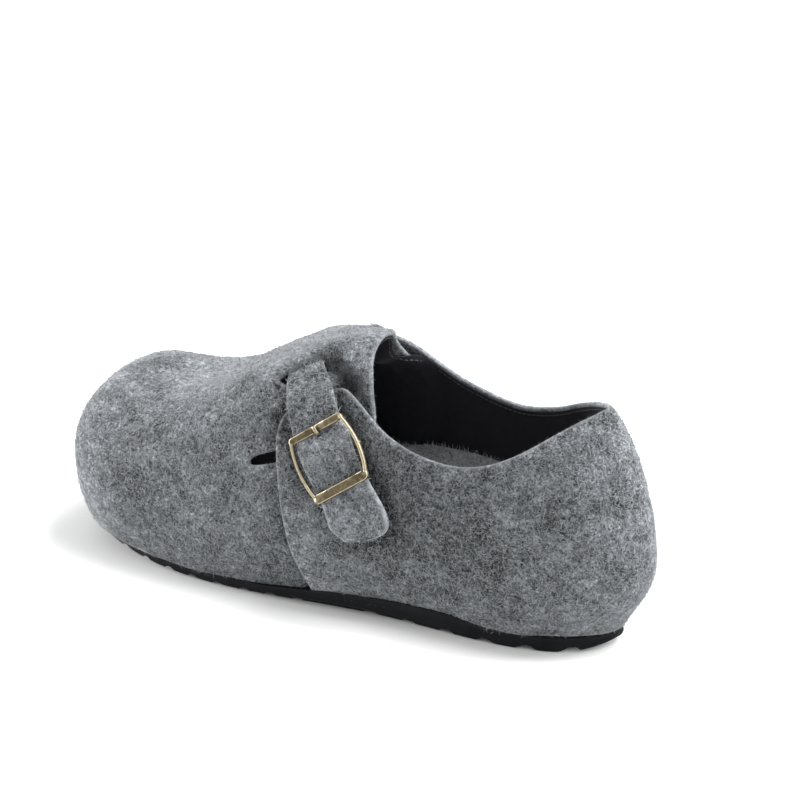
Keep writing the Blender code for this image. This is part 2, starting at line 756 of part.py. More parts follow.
def make_outsole():
    """Rubber sole with toe spring, bevelled heel and cross lugs."""
    station = stations()
    sides = []
    for inner_side in (False, True):
        edge, spine = edge_and_spine(station, np.full(station.shape, inner_side))
        unit = unit_rows(spine - edge)
        tuck = section("tuck", station)[:, None]
        column = []
        for set_in, level in ((BOTTOM_SET_IN, 0), (SIDE_SET_IN, 1), (SIDE_SET_IN, 2)):
            plan = edge + unit * (tuck + set_in)
            floor, top = sole_heights(plan[:, 0])
            foot = np.minimum(floor + SIDE_FOOT, top - 0.8)
            column.append(place(plan[:, 0], plan[:, 1], (floor, foot, top)[level]))
        sides.append(np.array(column))
    rings = ring_of(*sides)
    lines = [0.5 * (sides[0][row] + sides[1][row]) for row in (0, 2)]
    sole = ring_body("outsole", rings, *lines)
    boolean(sole, "DIFFERENCE", lug_grooves())
    return sole


def lug_grooves():
    """Cross grooves between the lugs, each deepest in the tread and opening downwards."""
    points = []
    faces = []
    for first, last, pitch in zip(LUGS["first"], LUGS["last"], LUGS["pitch"]):
        for along in np.arange(first, last, pitch):
            top = spring(along) + GROOVE_DEPTH
            shape = [
                (along - GROOVE_WIDTH / 2 - 1.5, top - 8),
                (along + GROOVE_WIDTH / 2 + 1.5, top - 8),
                (along + GROOVE_WIDTH / 4, top),
                (along - GROOVE_WIDTH / 4, top),
            ]
            start = len(points)
            for across in (-80, 80):
                points.extend(place(*np.array([(x, across, z) for x, z in shape]).T))
            faces.append(tuple(range(start, start + 4)))
            faces.append(tuple(range(start + 4, start + 8)))
            for j in range(4):
                k = (j + 1) % 4
                faces.append((start + j, start + k, start + 4 + k, start + 4 + j))
    return as_cutter(new_object("lug_grooves", points, faces))


def finish(obj, parent):
    """Material, smooth shading and parent of one piece."""
    colour, roughness, metallic = COLOURS[obj.name]
    material = bpy.data.materials.new(obj.name)
    material.use_nodes = True
    shader = material.node_tree.nodes["Principled BSDF"]
    shader.inputs["Base Color"].default_value = (*colour, 1)
    shader.inputs["Roughness"].default_value = roughness
    shader.inputs["Metallic"].default_value = metallic
    obj.data.materials.clear()
    obj.data.materials.append(material)
    obj.data.shade_smooth()
    obj.data.set_sharp_from_angle(angle=np.radians(35))
    obj.parent = parent


def main():
    for obj in list(bpy.data.objects):
        bpy.data.objects.remove(obj)
    shoe = bpy.data.objects.new("shoe", None)
    bpy.context.scene.collection.objects.link(shoe)
    seat = buckle_seat()
    pieces = [
        make_outsole(),
        make_footbed(),
        make_upper(),
        make_strap(),
        make_buckle_frame(seat),
        make_prong(seat),
        make_rivet(),
    ]
    for piece in pieces:
        finish(piece, shoe)


if __name__ == "__main__":
    main()
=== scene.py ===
import bmesh
import bpy
import numpy as np
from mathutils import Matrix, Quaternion, Vector, geometry, kdtree, noise


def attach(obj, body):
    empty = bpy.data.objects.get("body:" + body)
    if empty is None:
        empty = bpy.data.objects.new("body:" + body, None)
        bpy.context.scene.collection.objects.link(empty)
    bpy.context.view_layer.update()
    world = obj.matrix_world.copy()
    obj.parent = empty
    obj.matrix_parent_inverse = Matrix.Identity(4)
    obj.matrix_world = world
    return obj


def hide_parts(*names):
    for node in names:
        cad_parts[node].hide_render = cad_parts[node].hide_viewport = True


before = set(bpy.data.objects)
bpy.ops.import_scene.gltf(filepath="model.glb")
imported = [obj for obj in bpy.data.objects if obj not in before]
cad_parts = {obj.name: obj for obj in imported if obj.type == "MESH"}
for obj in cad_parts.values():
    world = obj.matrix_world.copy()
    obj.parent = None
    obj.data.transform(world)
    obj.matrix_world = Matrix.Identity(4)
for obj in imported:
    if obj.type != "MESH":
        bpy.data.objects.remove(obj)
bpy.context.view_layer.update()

# Closed felt clog with an instep strap, a left shoe. Sizes are millimetres until MM turns them into metres.
# Along runs from the heel (0) to the toe, across to the inner side of the foot, height up from the floor.
# A point of the felt's skin is named by its station (0 at the heel, LENGTH at the toe) and its girth (-1 at
# the outer sole edge, 0 on the ridge, 1 at the inner sole edge).
MM = 0.001


def table(columns, *rows):
    """The columns of a table by name, each as an array."""
    return dict(zip(columns.split(), np.array(rows, float).T))


# Driving dimensions of the shoe: length, felt, step of the quarter over the vamp, strap, room between pieces
LENGTH = 262.0
WALL = 2.4
OVERLAY = 2.2
STRAP = 2.0
GAP = 0.35

# Girth of the widest line, and the girths between which the felt's normals turn upright over the ridge
WIDEST_GIRTH = 0.72
CREST_GIRTH = 0.34
CREST_TOP = 0.14

# Rise of the toe, where it starts, and how much of it the widest line follows
TOE_SPRING = 11.2
SPRING_START = 185.0
SPRING_SHARE = 0.8

# Signs of the four corners of a rectangle, and the distance below which points are made one
QUADRANTS = ((1, 1), (-1, 1), (-1, -1), (1, -1))
WELD = 0.002

# Plan outline of the felt where it is widest
OUTLINE = table(
    "along across",
    (0, -6),  # back of the heel
    (28, -33),  # outer heel
    (105, -38.5),  # outer waist
    (170, -47.5),  # outer ball
    (220, -47),  # little toe
    (256, -34.5),  # outer toe
    (262, 7.5),  # toe tip
    (252.5, 37.5),  # big toe
    (190, 53),  # inner ball
    (110, 40),  # inner waist
    (31, 28),  # inner heel
)

# Ridge of the instep, over which the two sides of the felt meet
RIDGE = table(
    "along across height",
    (29.5, -0.5, 104),
    (80, -0.5, 114.5),
    (120, 0.5, 111.5),
    (150, 1.5, 104),
    (175, 3, 89.5),
    (200, 4.5, 76.5),
    (228, 6.5, 77),
)

# Cross sections: height of the widest line and of the sole edge without the toe spring, how far the felt
# tucks in below the widest line, and how square the section is above it
SECTION = table(
    "along widest sole_edge tuck squareness",
    (0, 36, 6.4, 10.8, 1.5),
    (30, 33, 6.3, 8.2, 1.6),
    (90, 30.5, 6.5, 5.1, 1.88),
    (190, 30.8, 4.8, 5.3, 2.17),
    (225, 31.4, 3.7, 5.7, 2.27),
    (262, 32.5, 2.1, 6.4, 2.4),
)

# Edge of the quarter in side view, from the sole up its front, over the corner and along the collar
QUARTER = table(
    "outer_along outer_height inner_along inner_height",
    (131, -30, 131, -30),
    (133, 4, 134, 4),  # sole
    (141.4, 25, 142, 26),
    (146.5, 45, 149, 50),
    (150.5, 66, 155, 70),
    (151.6, 77, 158.5, 80.5),  # side slit
    (149.5, 83, 156.5, 87),
    (141.5, 88.4, 148.5, 93),  # under the strap
    (130.5, 93.8, 137.5, 98.8),  # front corner
    (123, 91.3, 129, 98),
    (114, 85.3, 118, 92),
    (100, 78, 102, 83.5),
    (85, 74.6, 86, 79.5),  # lowest point of the collar
    (70, 75.2, 70, 79),
    (52, 82.5, 52, 85.5),
    (35, 94, 35, 95.5),
    (18, 102.5, 18, 102.5),  # heel
    (-30, 110, -30, 110),
)

# Point that closes that edge behind and below, stations behind and ahead of its front, a place well inside each
# half of the quarter, and the stretch over which the quarter comes to stand out over the vamp's skin
QUARTER_BELOW = (-30.0, -30.0)
QUARTER_SEARCH = (90.0, 200.0)
QUARTER_CENTRE = (80.0, 0.86)
OVERLAY_FADE = (70.0, 120.0)

# Rear edge of the tongue and hidden rear edge of the vamp below it, in side view
VAMP_REAR = table(
    "along height",
    (127, -30),
    (127, 40),
    (113.4, 75),
    (122.6, 105),
    (126, 118),
    (126, 150),
)

# How much further forward that edge lies on the inner side, and stations ahead of it and behind it
INNER_REAR = table("girth ahead", (0.08, 0), (0.22, 7), (0.3, 7), (0.5, 0))
REAR_SEARCH = (200.0, 60.0)

# Side slits in front of the quarter, in side view, and the stations and girths that hold them
SLIT = table(
    "outer_along outer_height inner_along inner_height",
    (145, 64.2, 152, 79.8),
    (162.0, 58.6, 172.8, 79.4),
    (164.8, 60.4, 175.6, 81.4),
    (163.2, 64.6, 174.2, 85.2),
    (145, 70.8, 152, 86.2),
)
SLIT_SEARCH = ((140, 185), (0.2, 0.7))

# Strap from the end of its tail, through the buckle, in at the outer slot, below the tongue, out at the inner
# slot and down to its rivet: the two edges of each row, whether it lies on the quarter, the lift of its
# underside and its thickness
SEAT = 0.45
INSIDE = -(WALL + SEAT + STRAP)
STRAP_ROUTE = table(
    "front_station front_girth rear_station rear_girth on_quarter lift thickness",
    (118.2, -0.680, 107.8, -0.668, 1, 1.4, 2.4),  # tail end
    (123.2, -0.664, 101.6, -0.648, 1, 1.4, 2.4),
    (125.6, -0.643, 99.4, -0.614, 1, 1.5, 2.4),
    (127.4, -0.615, 104.2, -0.562, 1, 2.0, 2.2),
    (129.0, -0.592, 108.8, -0.526, 1, 2.6, STRAP),  # bottom bar
    (132.2, -0.563, 112.8, -0.492, 1, 3.4, STRAP),
    (136.8, -0.523, 116.6, -0.456, 1, 3.9, STRAP),  # centre bar
    (140.8, -0.490, 121.2, -0.412, 1, 2.2, STRAP),
    (144.1, -0.456, 126.4, -0.378, 1, 0.3, STRAP),  # top bar
    (149.5, -0.390, 131.4, -0.323, 1, SEAT, STRAP),  # edge of the quarter
    (154.6, -0.325, 138.3, -0.259, 0, SEAT, STRAP),
    (162.4, -0.214, 149.6, -0.147, 0, -2.4, STRAP),  # outer slot
    (166.5, -0.165, 152.5, -0.085, 0, INSIDE, STRAP),
    (169.0, 0.0, 149.5, 0.0, 0, INSIDE, STRAP),
    (166.0, 0.150, 149.0, 0.085, 0, INSIDE, STRAP),
    (164.6, 0.205, 147.6, 0.150, 0, -2.6, STRAP),  # inner slot
    (162.4, 0.262, 144.8, 0.205, 0, SEAT, STRAP),
    (160.6, 0.294, 142.4, 0.226, 1, SEAT, STRAP),  # edge of the quarter
    (154.5, 0.392, 133.8, 0.330, 1, SEAT, STRAP),
    (145.5, 0.505, 124.3, 0.445, 1, SEAT, 2 * STRAP),  # end of the upper layer
    (145.2, 0.509, 124.0, 0.449, 1, SEAT, STRAP),
    (138.5, 0.573, 118.0, 0.510, 1, SEAT, STRAP),
    (135.0, 0.595, 119.5, 0.553, 1, SEAT, STRAP),  # end of the tab
)

# Rows of the route that press on the felt and rows that are hidden below the tongue
PRESSED_ROWS = ((0.0, 9.6), (16.4, len(STRAP_ROUTE["lift"]) - 1))
HIDDEN_ROWS = (10.6, 15.4)

# Strap's form: points between rows, across it and round its edges, points over which its steps are softened, its
# crown, and the pressed line round its tail: depth, distance from the edge, width and rows over which it fades
STRAP_STEPS = 12
STRAP_ACROSS = 18
STRAP_ROUND = 5
STRAP_SOFT = 5
STRAP_CROWN = 0.7
LINE_DEPTH = 0.4
LINE_SET_IN = 2.4
LINE_WIDTH = 0.8
LINE_FADE = 1.5

# Strap's tail: length of a row, where the first one starts, the row where its pale edge, partly a painted
# highlight, ends and how fast; painted light on the tail, painted shade on the rest and darker painted shade on
# what is hidden, and the row where the tail's painted light ends
TAIL_ROW = 7
TAIL_START = 0.15
TAIL_END = 3.5
EDGE_FADE = 3
TAIL_PAINTED_LIGHT = 0.1
STRAP_PAINTED_SHADE = -0.07
HIDDEN_PAINTED_SHADE = -0.4
TONE_ROW = 7.5

# Slots in the vamp that the strap passes through
OUTER_SLOT = table(
    "station girth",
    (165.9, -0.257),
    (162.8, -0.226),
    (159.0, -0.194),
    (155.2, -0.164),
    (150.5, -0.154),
    (147.8, -0.166),
    (144.5, -0.215),
    (150.5, -0.262),
    (157.5, -0.286),
    (162.2, -0.272),
)
INNER_SLOT = table(
    "station girth",
    (168.6, 0.238),
    (165.2, 0.198),
    (156.0, 0.168),
    (147.4, 0.140),
    (142.8, 0.165),
    (143.6, 0.196),
    (152.5, 0.228),
    (161.8, 0.254),
)

# Buckle: where its bottom, centre and top bars lie on the skin, how its top and its front side lean inwards, its
# shift up the strap, over its width and off it, its sizes, and how worn its rails, centre bar and eye are
BAR_SEATS = table("station girth", (119.7, -0.5465), (127.25, -0.4875), (135.45, -0.421))
TOP_LEAN = np.radians(7.0)
SIDE_LEAN = np.radians(4.3)
BUCKLE_SHIFT = (-0.5, -0.5, 1.2)
FRAME_LENGTH = 25.8
FRAME_WIDTH = 26.6
RAIL = 1.3
RAIL_HEIGHT = 1.8
RAIL_BOW = 1.8
RAIL_SAG = 0.4
RAIL_LEVEL = 1.1
TOP_BAR_SIZE = (3.0, 1.6)
BOTTOM_BAR_SIZE = (3.8, 2.4)
CENTRE_BAR_RADIUS = 0.8
BAR_BEND = 1.2
EYE_RADIUS = 1.65
EYE_ROOM = 0.25
PRONG_WIDTH = 1.8
PRONG_THICK = 1.1
PRONG_TIP = 0.9
PRONG_HOLE = (9.4, 11.9)
HOLE_DEPTHS = (-8, 10)
NOTCH_FLOOR = 0.9
FRAME_CORNER = 1.2
FRAME_LIFT = 1.2
BEVEL = 0.45
RAIL_WEAR = 0.75
BAR_WEAR = 0.3
EYE_WEAR = 0.4

# Rivet on the tab of the strap, and the form of its washer from the hole to the rim
RIVET_STATION = 128.6
RIVET_GIRTH = 0.518
RIVET_SHANK = 1.4
RIVET_CAP = 3.6
RIVET_DOME = 1.2
RIVET_WASHER = table(
    "radius height",
    (0.6, -0.75),
    (2.2, -0.75),
    (2.4, -0.95),
    (3.2, -0.9),
    (3.65, -0.7),
    (3.8, -0.4),
    (3.7, -0.1),
    (3.5, 0),
)

# Footbed: heights of its middle and of its outer and inner edges, its room to the felt, how far its middle line
# stays away from heel and toe, and how level and how far back it has to be to carry pile
FOOTBED = table(
    "along middle outer_edge inner_edge",
    (0, 30, 38, 38),
    (35, 24, 36, 38),
    (75, 25, 33, 47),
    (110, 26, 31, 48),
    (160, 21, 26, 36),
    (200, 18, 24, 25),
    (262, 26, 32, 32),
)
FOOTBED_ROOM = 2.6 * GAP
SPINE_END = 14.0
PILE_SLOPE = 0.3
PILE_FRONT = -40.0

# Outsole: how far its side and its bottom edge stand inside the felt's lower edge, the height of its bottom edge
# and the least height above that, the bevel at the back of the heel, and the angle from which an edge is sharp
SIDE_SET_IN = 0.3
BOTTOM_SET_IN = 1.6
SIDE_FOOT = 1.6
SIDE_LEAST = 0.8
HEEL_BEVEL = 4.0
HEEL_BEVEL_LENGTH = 20.0
LUG_SHARP = np.radians(38)

# Rows of its side from the floor up: how far in, and the rise, 0 on the floor, 1 at the bottom edge and 2 on top
SOLE_ROWS = table(
    "inset rise",
    (BOTTOM_SET_IN + 1.6, 0.0),
    (BOTTOM_SET_IN + 0.2, 0.06),
    (1.1, 0.3),
    (0.6, 0.65),
    (SIDE_SET_IN, 1.0),
    (SIDE_SET_IN, 1.3),
    (0.0, 1.6),
    (-0.4, 1.9),
    (0.1, 2.0),
)

# How far its side rises over the felt's lower edge, how much of that it swells out, and over which rise
SOLE_WALL = table(
    "along rise",
    (0, 0.3),
    (45, 0.4),
    (62, 1.9),
    (75, 4.2),
    (90, 4.7),
    (105, 4.4),
    (127, 3.2),
    (153, 0.4),
    (220, 0.3),
)
SWELL_SHARE = 0.25
SWELL_RISE = 0.25

# How far its side is drawn in under the heel, where its floor flares out, and under the toe
HEEL_DRAWN = 2.6
HEEL_FLARE = 1.0
HEEL_DRAWN_LENGTH = 45
TOE_DRAWN = 2.6
TOE_DRAWN_FROM = 215
TOE_DRAWN_LENGTH = 35

# Rows of lugs with a groove between each pair; a groove's half width as a share of their pitch, its depth and its
# reach across; and one side of it: distance from its middle in half widths, and share of the depth down to the floor
LUGS = table("first last pitch", (26, 128, 17), (143, 240, 12.1))
GROOVE_SHARE = 0.26
GROOVE_DEPTH = 2.2
GROOVE_REACH = 80
GROOVE = table(
    "beside down",
    (0.2, 0.0),
    (0.4, 0.16),
    (0.62, 0.44),
    (0.85, 0.72),
    (1.1, 0.9),
    (1.4, 1.02),
    (1.88, 2.2),
)

# The felt unrolled flat and its fold at the toe; how closely points are set, with rows and rim in shares of that;
# how often the search for an edge is halved; and the step of station and girth for a normal
FLAT_LENGTH = 300.0
FLAT_GIRTH = 100.0
TOE_FOLD = ((FLAT_LENGTH, FLAT_GIRTH), (FLAT_LENGTH, -FLAT_GIRTH))
FELT_SPACING = 1.1
LINING_SPACING = 2.4
ROW_SHARE = 0.866
RIM_SHARE = 0.62
HALVINGS = 34
NORMAL_STEP = (0.5, 0.004)

# Edges of felt: how far they bulge in shares of the thickness and, at the sole, of the room, and where nap starts
QUARTER_THICK = 2.0
RIM_BULGE = 0.3
SOLE_BULGE = 0.6
FIELD_FROM = 2.0

# Lining: thickness, room to the felt, distance from the edge of the collar, girth where the collar ends, how it
# passes from quarter to vamp, how much deeper than the vamp's hollows it lies, its bulges over the strap (station,
# length, girth, depth) and behind the side slits (width, depth), and its seam
LINING_THICK = 0.5
LINING_GAP = 0.2
LINING_SET_IN = 0.5
COLLAR_GIRTH = 0.8
LINING_EASE = 4
LINING_HOLLOW = 1.2
LINING_BELOW = 0.7
STRAP_BULGE = (157, 17, 0.25, 3.4)
SLIT_BULGE = (12, 2.5)
SEAM_SET_IN = 1.5
SEAM_SPACING = 1.0
SEAM_LIFT = 0.05

# Soft troughs and ridges in the vamp, each along a line between two places of the skin
VAMP_CREASES = table(
    "station girth to_station to_girth width height",
    (166, -0.225, 148, -0.135, 5.5, 1.8),  # lip of the outer slot
    (166, 0.185, 148, 0.130, 6, 2.0),  # lip of the inner slot
    (170, -0.215, 196, -0.11, 9, 0.9),  # fold running forward from the outer slot
    (170, 0.2, 196, 0.13, 9, 0.9),  # fold running forward from the inner slot
    (166, -0.275, 157, -0.43, 11, -2.6),  # hollow along the front of the strap
    (176, 0.29, 168, 0.42, 9, -1.2),
    (144.5, -0.195, 132, -0.285, 5.0, -7.0),  # tongue drawn in behind the strap
    (141, -0.20, 130, -0.26, 9.0, -2.2),
    (133, -0.275, 119, -0.365, 4.5, -1.8),  # tongue pressed in below the corner of the quarter
    (144, 0.175, 136, 0.25, 5.5, -3.0),
    (136, 0.25, 128, 0.31, 5, -1.4),
    (165, -0.52, 200, -0.6, 14, -0.8),  # bend ahead of the side slit
    (205, -0.1, 205, 0.12, 12, -0.5),  # hollow behind the toes
    (235, -0.35, 246, -0.1, 10, -0.5),  # dents in the toe
    (222, 0.3, 240, 0.45, 12, -0.5),
)

# The same in the quarter
QUARTER_CREASES = table(
    "station girth to_station to_girth width height",
    (100, -0.62, 60, -0.7, 16, -0.7),  # hollow below the ankle
    (100, 0.62, 60, 0.7, 16, -0.7),
    (26, -0.45, 18, -0.8, 9, 0.5),  # round of the heel
    (26, 0.45, 18, 0.8, 9, 0.5),
    (126, -0.85, 137, -0.7, 10, -0.5),
    (44, -0.42, 34, -0.6, 8, -0.5),  # crease below the back of the collar
    (44, 0.42, 34, 0.6, 8, -0.5),
    (0, -0.92, 30, -0.96, 11, -2.0),  # heel drawn in above the sole
    (0, 0.92, 30, 0.96, 11, -2.0),
)

# Felt pressed down under the strap and beside it, and the vamp along the edge of the quarter: depth and width;
# spacing of the strap's outline for that, how much painted shade darkens pressed felt, and how far under the
# edge it is hidden
STRAP_PRESS = ((1.2, 4.5), (1.4, 1.8))
QUARTER_PRESS = ((0.8, 3.2),)
PRESS_SPACING = 0.8
PRESS_PAINTED_SHADE = 0.09
HIDDEN_FROM = 1.5

# Lumps of the wool: size and height
VAMP_LUMPS = ((16, 0.35), (5, 0.12))
QUARTER_LUMPS = ((16, 0.3), (5, 0.1))
STRAP_LUMPS = (6, 0.18)

# Pale edge of the collar on the inner side, painted light where that edge lies in shade: tone and width
COLLAR_PAINTED_LIGHT = (0.22, 1.2)

# Zones of painted light and painted shade on the wool, each along a line between two places of the skin
PAINTED_LIGHT_ZONES = table(
    "station girth to_station to_girth width tone",
    (90, -0.66, 66, -0.78, 20, -0.16),  # below the ankle
    (90, 0.66, 66, 0.76, 20, -0.10),
    (56, -0.56, 46, -0.80, 14, -0.035),
    (138, -0.66, 134, -0.78, 8, 0.06),  # front of the quarter
    (134, -0.80, 134, -0.92, 8, 0.09),
    (138, 0.66, 134, 0.86, 8, 0.065),
    (206, -0.88, 188, -0.92, 10, 0.055),  # above the sole
    (213, -0.74, 217, -0.82, 12, -0.10),
    (220, -0.50, 222, -0.62, 10, -0.06),
    (238, -0.66, 234, -0.80, 10, 0.045),  # little toe
    (13, -0.38, 13, -0.50, 9, 0.07),  # round of the heel
    (0, -0.48, 0, -0.62, 8, 0.10),
    (11, -0.20, 13, -0.27, 8, -0.04),
    (30, -0.48, 28, -0.56, 9, -0.035),
    (76, -0.56, 60, -0.60, 12, -0.035),
    (16, -0.78, 20, -0.86, 10, -0.045),
    (30, -0.28, 42, -0.42, 9, -0.03),
    (204, -0.06, 188, -0.20, 13, -0.19),  # behind the toes
    (207, -0.47, 182, -0.33, 9, 0.045),
    (248, -0.14, 228, 0.0, 14, 0.125),  # top of the toe
    (170, -0.02, 148, -0.07, 9, -0.12),  # instep
    (138, -0.17, 130, -0.22, 6, 0.12),  # tongue
    (165, -0.28, 158, -0.42, 8, -0.075),  # along the front of the strap
    (128, -0.635, 125, -0.685, 5, -0.06),  # round the tail of the strap
    (122, -0.700, 106, -0.695, 4, -0.05),
)


def spline(known, values, at):
    """A smooth curve through the known values, level with the first and last of them outside."""
    known = np.asarray(known, float)
    values = np.asarray(values, float)
    step = np.diff(known)
    slope = np.diff(values) / step
    count = len(known)
    system = np.eye(count)
    right = np.zeros(count)
    for i in range(1, count - 1):
        system[i, i - 1 : i + 2] = step[i - 1], 2 * (step[i - 1] + step[i]), step[i]
        right[i] = 6 * (slope[i] - slope[i - 1])
    bend = np.linalg.solve(system, right)
    at = np.clip(np.asarray(at, float), known[0], known[-1])
    i = np.clip(np.searchsorted(known, at) - 1, 0, count - 2)
    after = (at - known[i]) / step[i]
    before = 1 - after
    curve = (before**3 - before) * bend[i] + (after**3 - after) * bend[i + 1]
    return before * values[i] + after * values[i + 1] + curve * step[i] ** 2 / 6


def marks(points):
    """Distance of each point of a line from its start."""
    return np.r_[0, np.cumsum(np.linalg.norm(np.diff(points, axis=0), axis=1))]


def follow(rows, column, along):
    """A column of a table as a smooth curve along the shoe."""
    return spline(rows["along"], rows[column], along)


def ease(share):
    """A soft step from 0 to 1."""
    share = np.clip(share, 0, 1)
    return share * share * (3 - 2 * share)


def round_turn(count):
    """Angles of points evenly spread round a circle."""
    return np.linspace(0, 2 * np.pi, count, endpoint=False)


def bell(away, width, power=2):
    """1 in the middle, fading to 0 beyond a width."""
    return np.exp(-((away / width) ** power))


def smooth_path(points, count):
    """Points along a smooth curve through the given ones, evenly spread by their distances."""
    points = np.asarray(points, float)
    mark = marks(points)
    at = np.linspace(0, mark[-1], count)
    return np.stack([spline(mark, column, at) for column in points.T], 1)


def evenly(points, spacing):
    """The same line with its points a spacing apart, its two ends kept."""
    mark = marks(points)
    at = np.linspace(0, mark[-1], max(3, int(round(mark[-1] / spacing)) + 1))
    return np.stack([np.interp(at, mark, column) for column in points.T], 1)


def legs(points, spacing):
    """Straight lines from each point to the next, set with points a spacing apart."""
    return [evenly(np.array(ends), spacing) for ends in zip(points, points[1:])]


def chained(*lines):
    """A closed outline from lines that each begin where the one before ends."""
    return np.vstack([line[:-1] for line in lines])


def outline_halves():
    """The outer and the inner half of the plan outline, each as (along, across) from heel to toe."""
    along = np.tile(OUTLINE["along"], 3)
    across = np.tile(OUTLINE["across"], 3)
    mark = np.r_[0, np.cumsum(np.hypot(np.diff(along), np.diff(across)) ** 0.7)]
    count = len(OUTLINE["along"])
    dense = np.linspace(mark[count], mark[2 * count], 2000, endpoint=False)
    ring = np.stack([spline(mark, along, dense), spline(mark, across, dense)], 1)
    ring = np.roll(ring, -ring[:, 0].argmin(), 0)
    ring[:, 0] = (ring[:, 0] - ring[:, 0].min()) / np.ptp(ring[:, 0]) * LENGTH
    toe = ring[:, 0].argmax()
    return ring[: toe + 1], np.vstack([ring[toe:], ring[:1]])[::-1]


OUTER, INNER = outline_halves()
MIDDLE_ACROSS = (OUTER[:, 1].min() + INNER[:, 1].max()) / 2


def place(along, across, height):
    """Points of the shoe in its own axes, toe towards -X, as (..., 3) millimetres."""
    along, across, height = np.broadcast_arrays(along, across, height)
    return np.stack([LENGTH / 2 - along, across - MIDDLE_ACROSS, height], -1)


def section(column, along):
    """A column of the cross sections at places along the shoe."""
    return follow(SECTION, column, along)


def spring(along):
    """Rise of the toe off the floor."""
    return TOE_SPRING * (np.clip(along - SPRING_START, 0, None) / (LENGTH - SPRING_START)) ** 2


def sole_edge(along):
    """Height of the line where felt and sole meet."""
    return section("sole_edge", along) + spring(along)


def widest_line(along):
    """Height of the line where the felt is widest."""
    return section("widest", along) + SPRING_SHARE * spring(along)


def overlay(along):
    """How far the quarter stands out over the vamp's skin."""
    first, last = OVERLAY_FADE
    return OVERLAY * ease((along - first) / (last - first))


def overlay_at(points):
    """The same at points of the shoe."""
    return overlay(LENGTH / 2 - points[..., 0])


def edge_and_spine(station, inner_side):
    """Plan points of the widest outline and of the ridge that it leans to."""
    across = np.where(inner_side, np.interp(station, *INNER.T), np.interp(station, *OUTER.T))
    first, last = RIDGE["along"][[0, -1]]
    spine_along = first + (last - first) * station / LENGTH
    spine_across = follow(RIDGE, "across", spine_along)
    return np.stack([station + 0 * across, across], -1), np.stack([spine_along, spine_across], -1)


def skin(station, girth):
    """Points on the outside of the vamp's felt."""
    station, girth = np.broadcast_arrays(np.asarray(station, float), np.asarray(girth, float))
    edge, spine = edge_and_spine(station, girth > 0)
    lean = spine - edge
    unit = lean / np.linalg.norm(lean, axis=-1, keepdims=True)
    share = np.abs(girth)
    turn = np.clip(1 - share / WIDEST_GIRTH, 0, 1) * np.pi / 2
    low = np.clip((1 - share) / (1 - WIDEST_GIRTH), 0, 1)
    power = 2 / section("squareness", spine[..., 0])
    inward = 1 - np.clip(np.cos(turn), 0, 1) ** power
    rise = np.sin(turn) ** power
    tuck = section("tuck", station) * (1 - low) ** 2
    plan = edge + lean * inward[..., None] + unit * tuck[..., None]
    bottom = sole_edge(station)
    widest = widest_line(station)
    top = follow(RIDGE, "height", spine[..., 0])
    height = np.where(share > WIDEST_GIRTH, bottom + (widest - bottom) * low, widest + (top - widest) * rise)
    return place(plan[..., 0], plan[..., 1], height)


def unit_rows(vectors):
    """The same vectors, each of length 1."""
    return vectors / np.maximum(np.linalg.norm(vectors, axis=-1, keepdims=True), 1e-9)


def skin_normal(station, girth):
    """Outward unit normals of the skin, away from heel and toe."""
    ahead, beside = NORMAL_STEP
    forward = skin(station + ahead, girth) - skin(station - ahead, girth)
    around = skin(station, girth + beside) - skin(station, girth - beside)
    return unit_rows(np.cross(around, forward))


def flat_place(station, girth):
    """Place of a skin point on the unrolled felt."""
    along = np.arccos(1 - 2 * np.clip(station, 0, LENGTH) / LENGTH) / np.pi * FLAT_LENGTH
    return np.stack(np.broadcast_arrays(along, np.asarray(girth) * FLAT_GIRTH), -1)


def skin_place(flat):
    """Station and girth of a place on the unrolled felt."""
    return LENGTH * (1 - np.cos(np.pi * flat[..., 0] / FLAT_LENGTH)) / 2, flat[..., 1] / FLAT_GIRTH


def side_view(flat):
    """Along and height of places on the unrolled felt."""
    point = skin(*skin_place(flat))
    return np.stack([LENGTH / 2 - point[..., 0], point[..., 2]], -1)


def inside(points, outline):
    """Which points lie inside a closed outline."""
    found = []
    x0, y0 = outline.T
    x1, y1 = np.roll(outline, -1, 0).T
    slope = (x1 - x0) / np.where(y1 == y0, 1e-9, y1 - y0)
    for part in np.array_split(points, max(1, len(points) // 3000)):
        x, y = part[:, :1], part[:, 1:]
        crosses = ((y0 > y) != (y1 > y)) & (x < x0 + (y - y0) * slope)
        found.append(crosses.sum(1) % 2 == 1)
    return np.concatenate(found)


def halve(within, low, high):
    """Points between two sets where the felt ends, low ones within it and high ones outside."""
    for _ in range(HALVINGS):
        middle = (low + high) / 2
        holds = within(middle)[:, None]
        low = np.where(holds, middle, low)
        high = np.where(holds, high, middle)
    return low


def rays(within, centre, first, last, count=500):
    """The line round a centre where the felt ends, from a first to a last direction."""
    turn = np.linspace(first, last, count)
    way = np.stack([np.cos(turn), np.sin(turn)], -1)
    return halve(within, centre + 0 * way, centre + way * FLAT_LENGTH)


def soft_corners(outline, rounds=3):
    """A closed outline with its corners cut again and again until they are round."""
    for _ in range(rounds):
        following = np.roll(outline, -1, 0)
        outline = np.stack([outline * 0.75 + following * 0.25, outline * 0.25 + following * 0.75], 1).reshape(-1, 2)
    return outline


def side_line(rows, name):
    """Line of one side from a table in side view."""
    return np.stack([rows[f"{name}_along"], rows[f"{name}_height"]], 1)


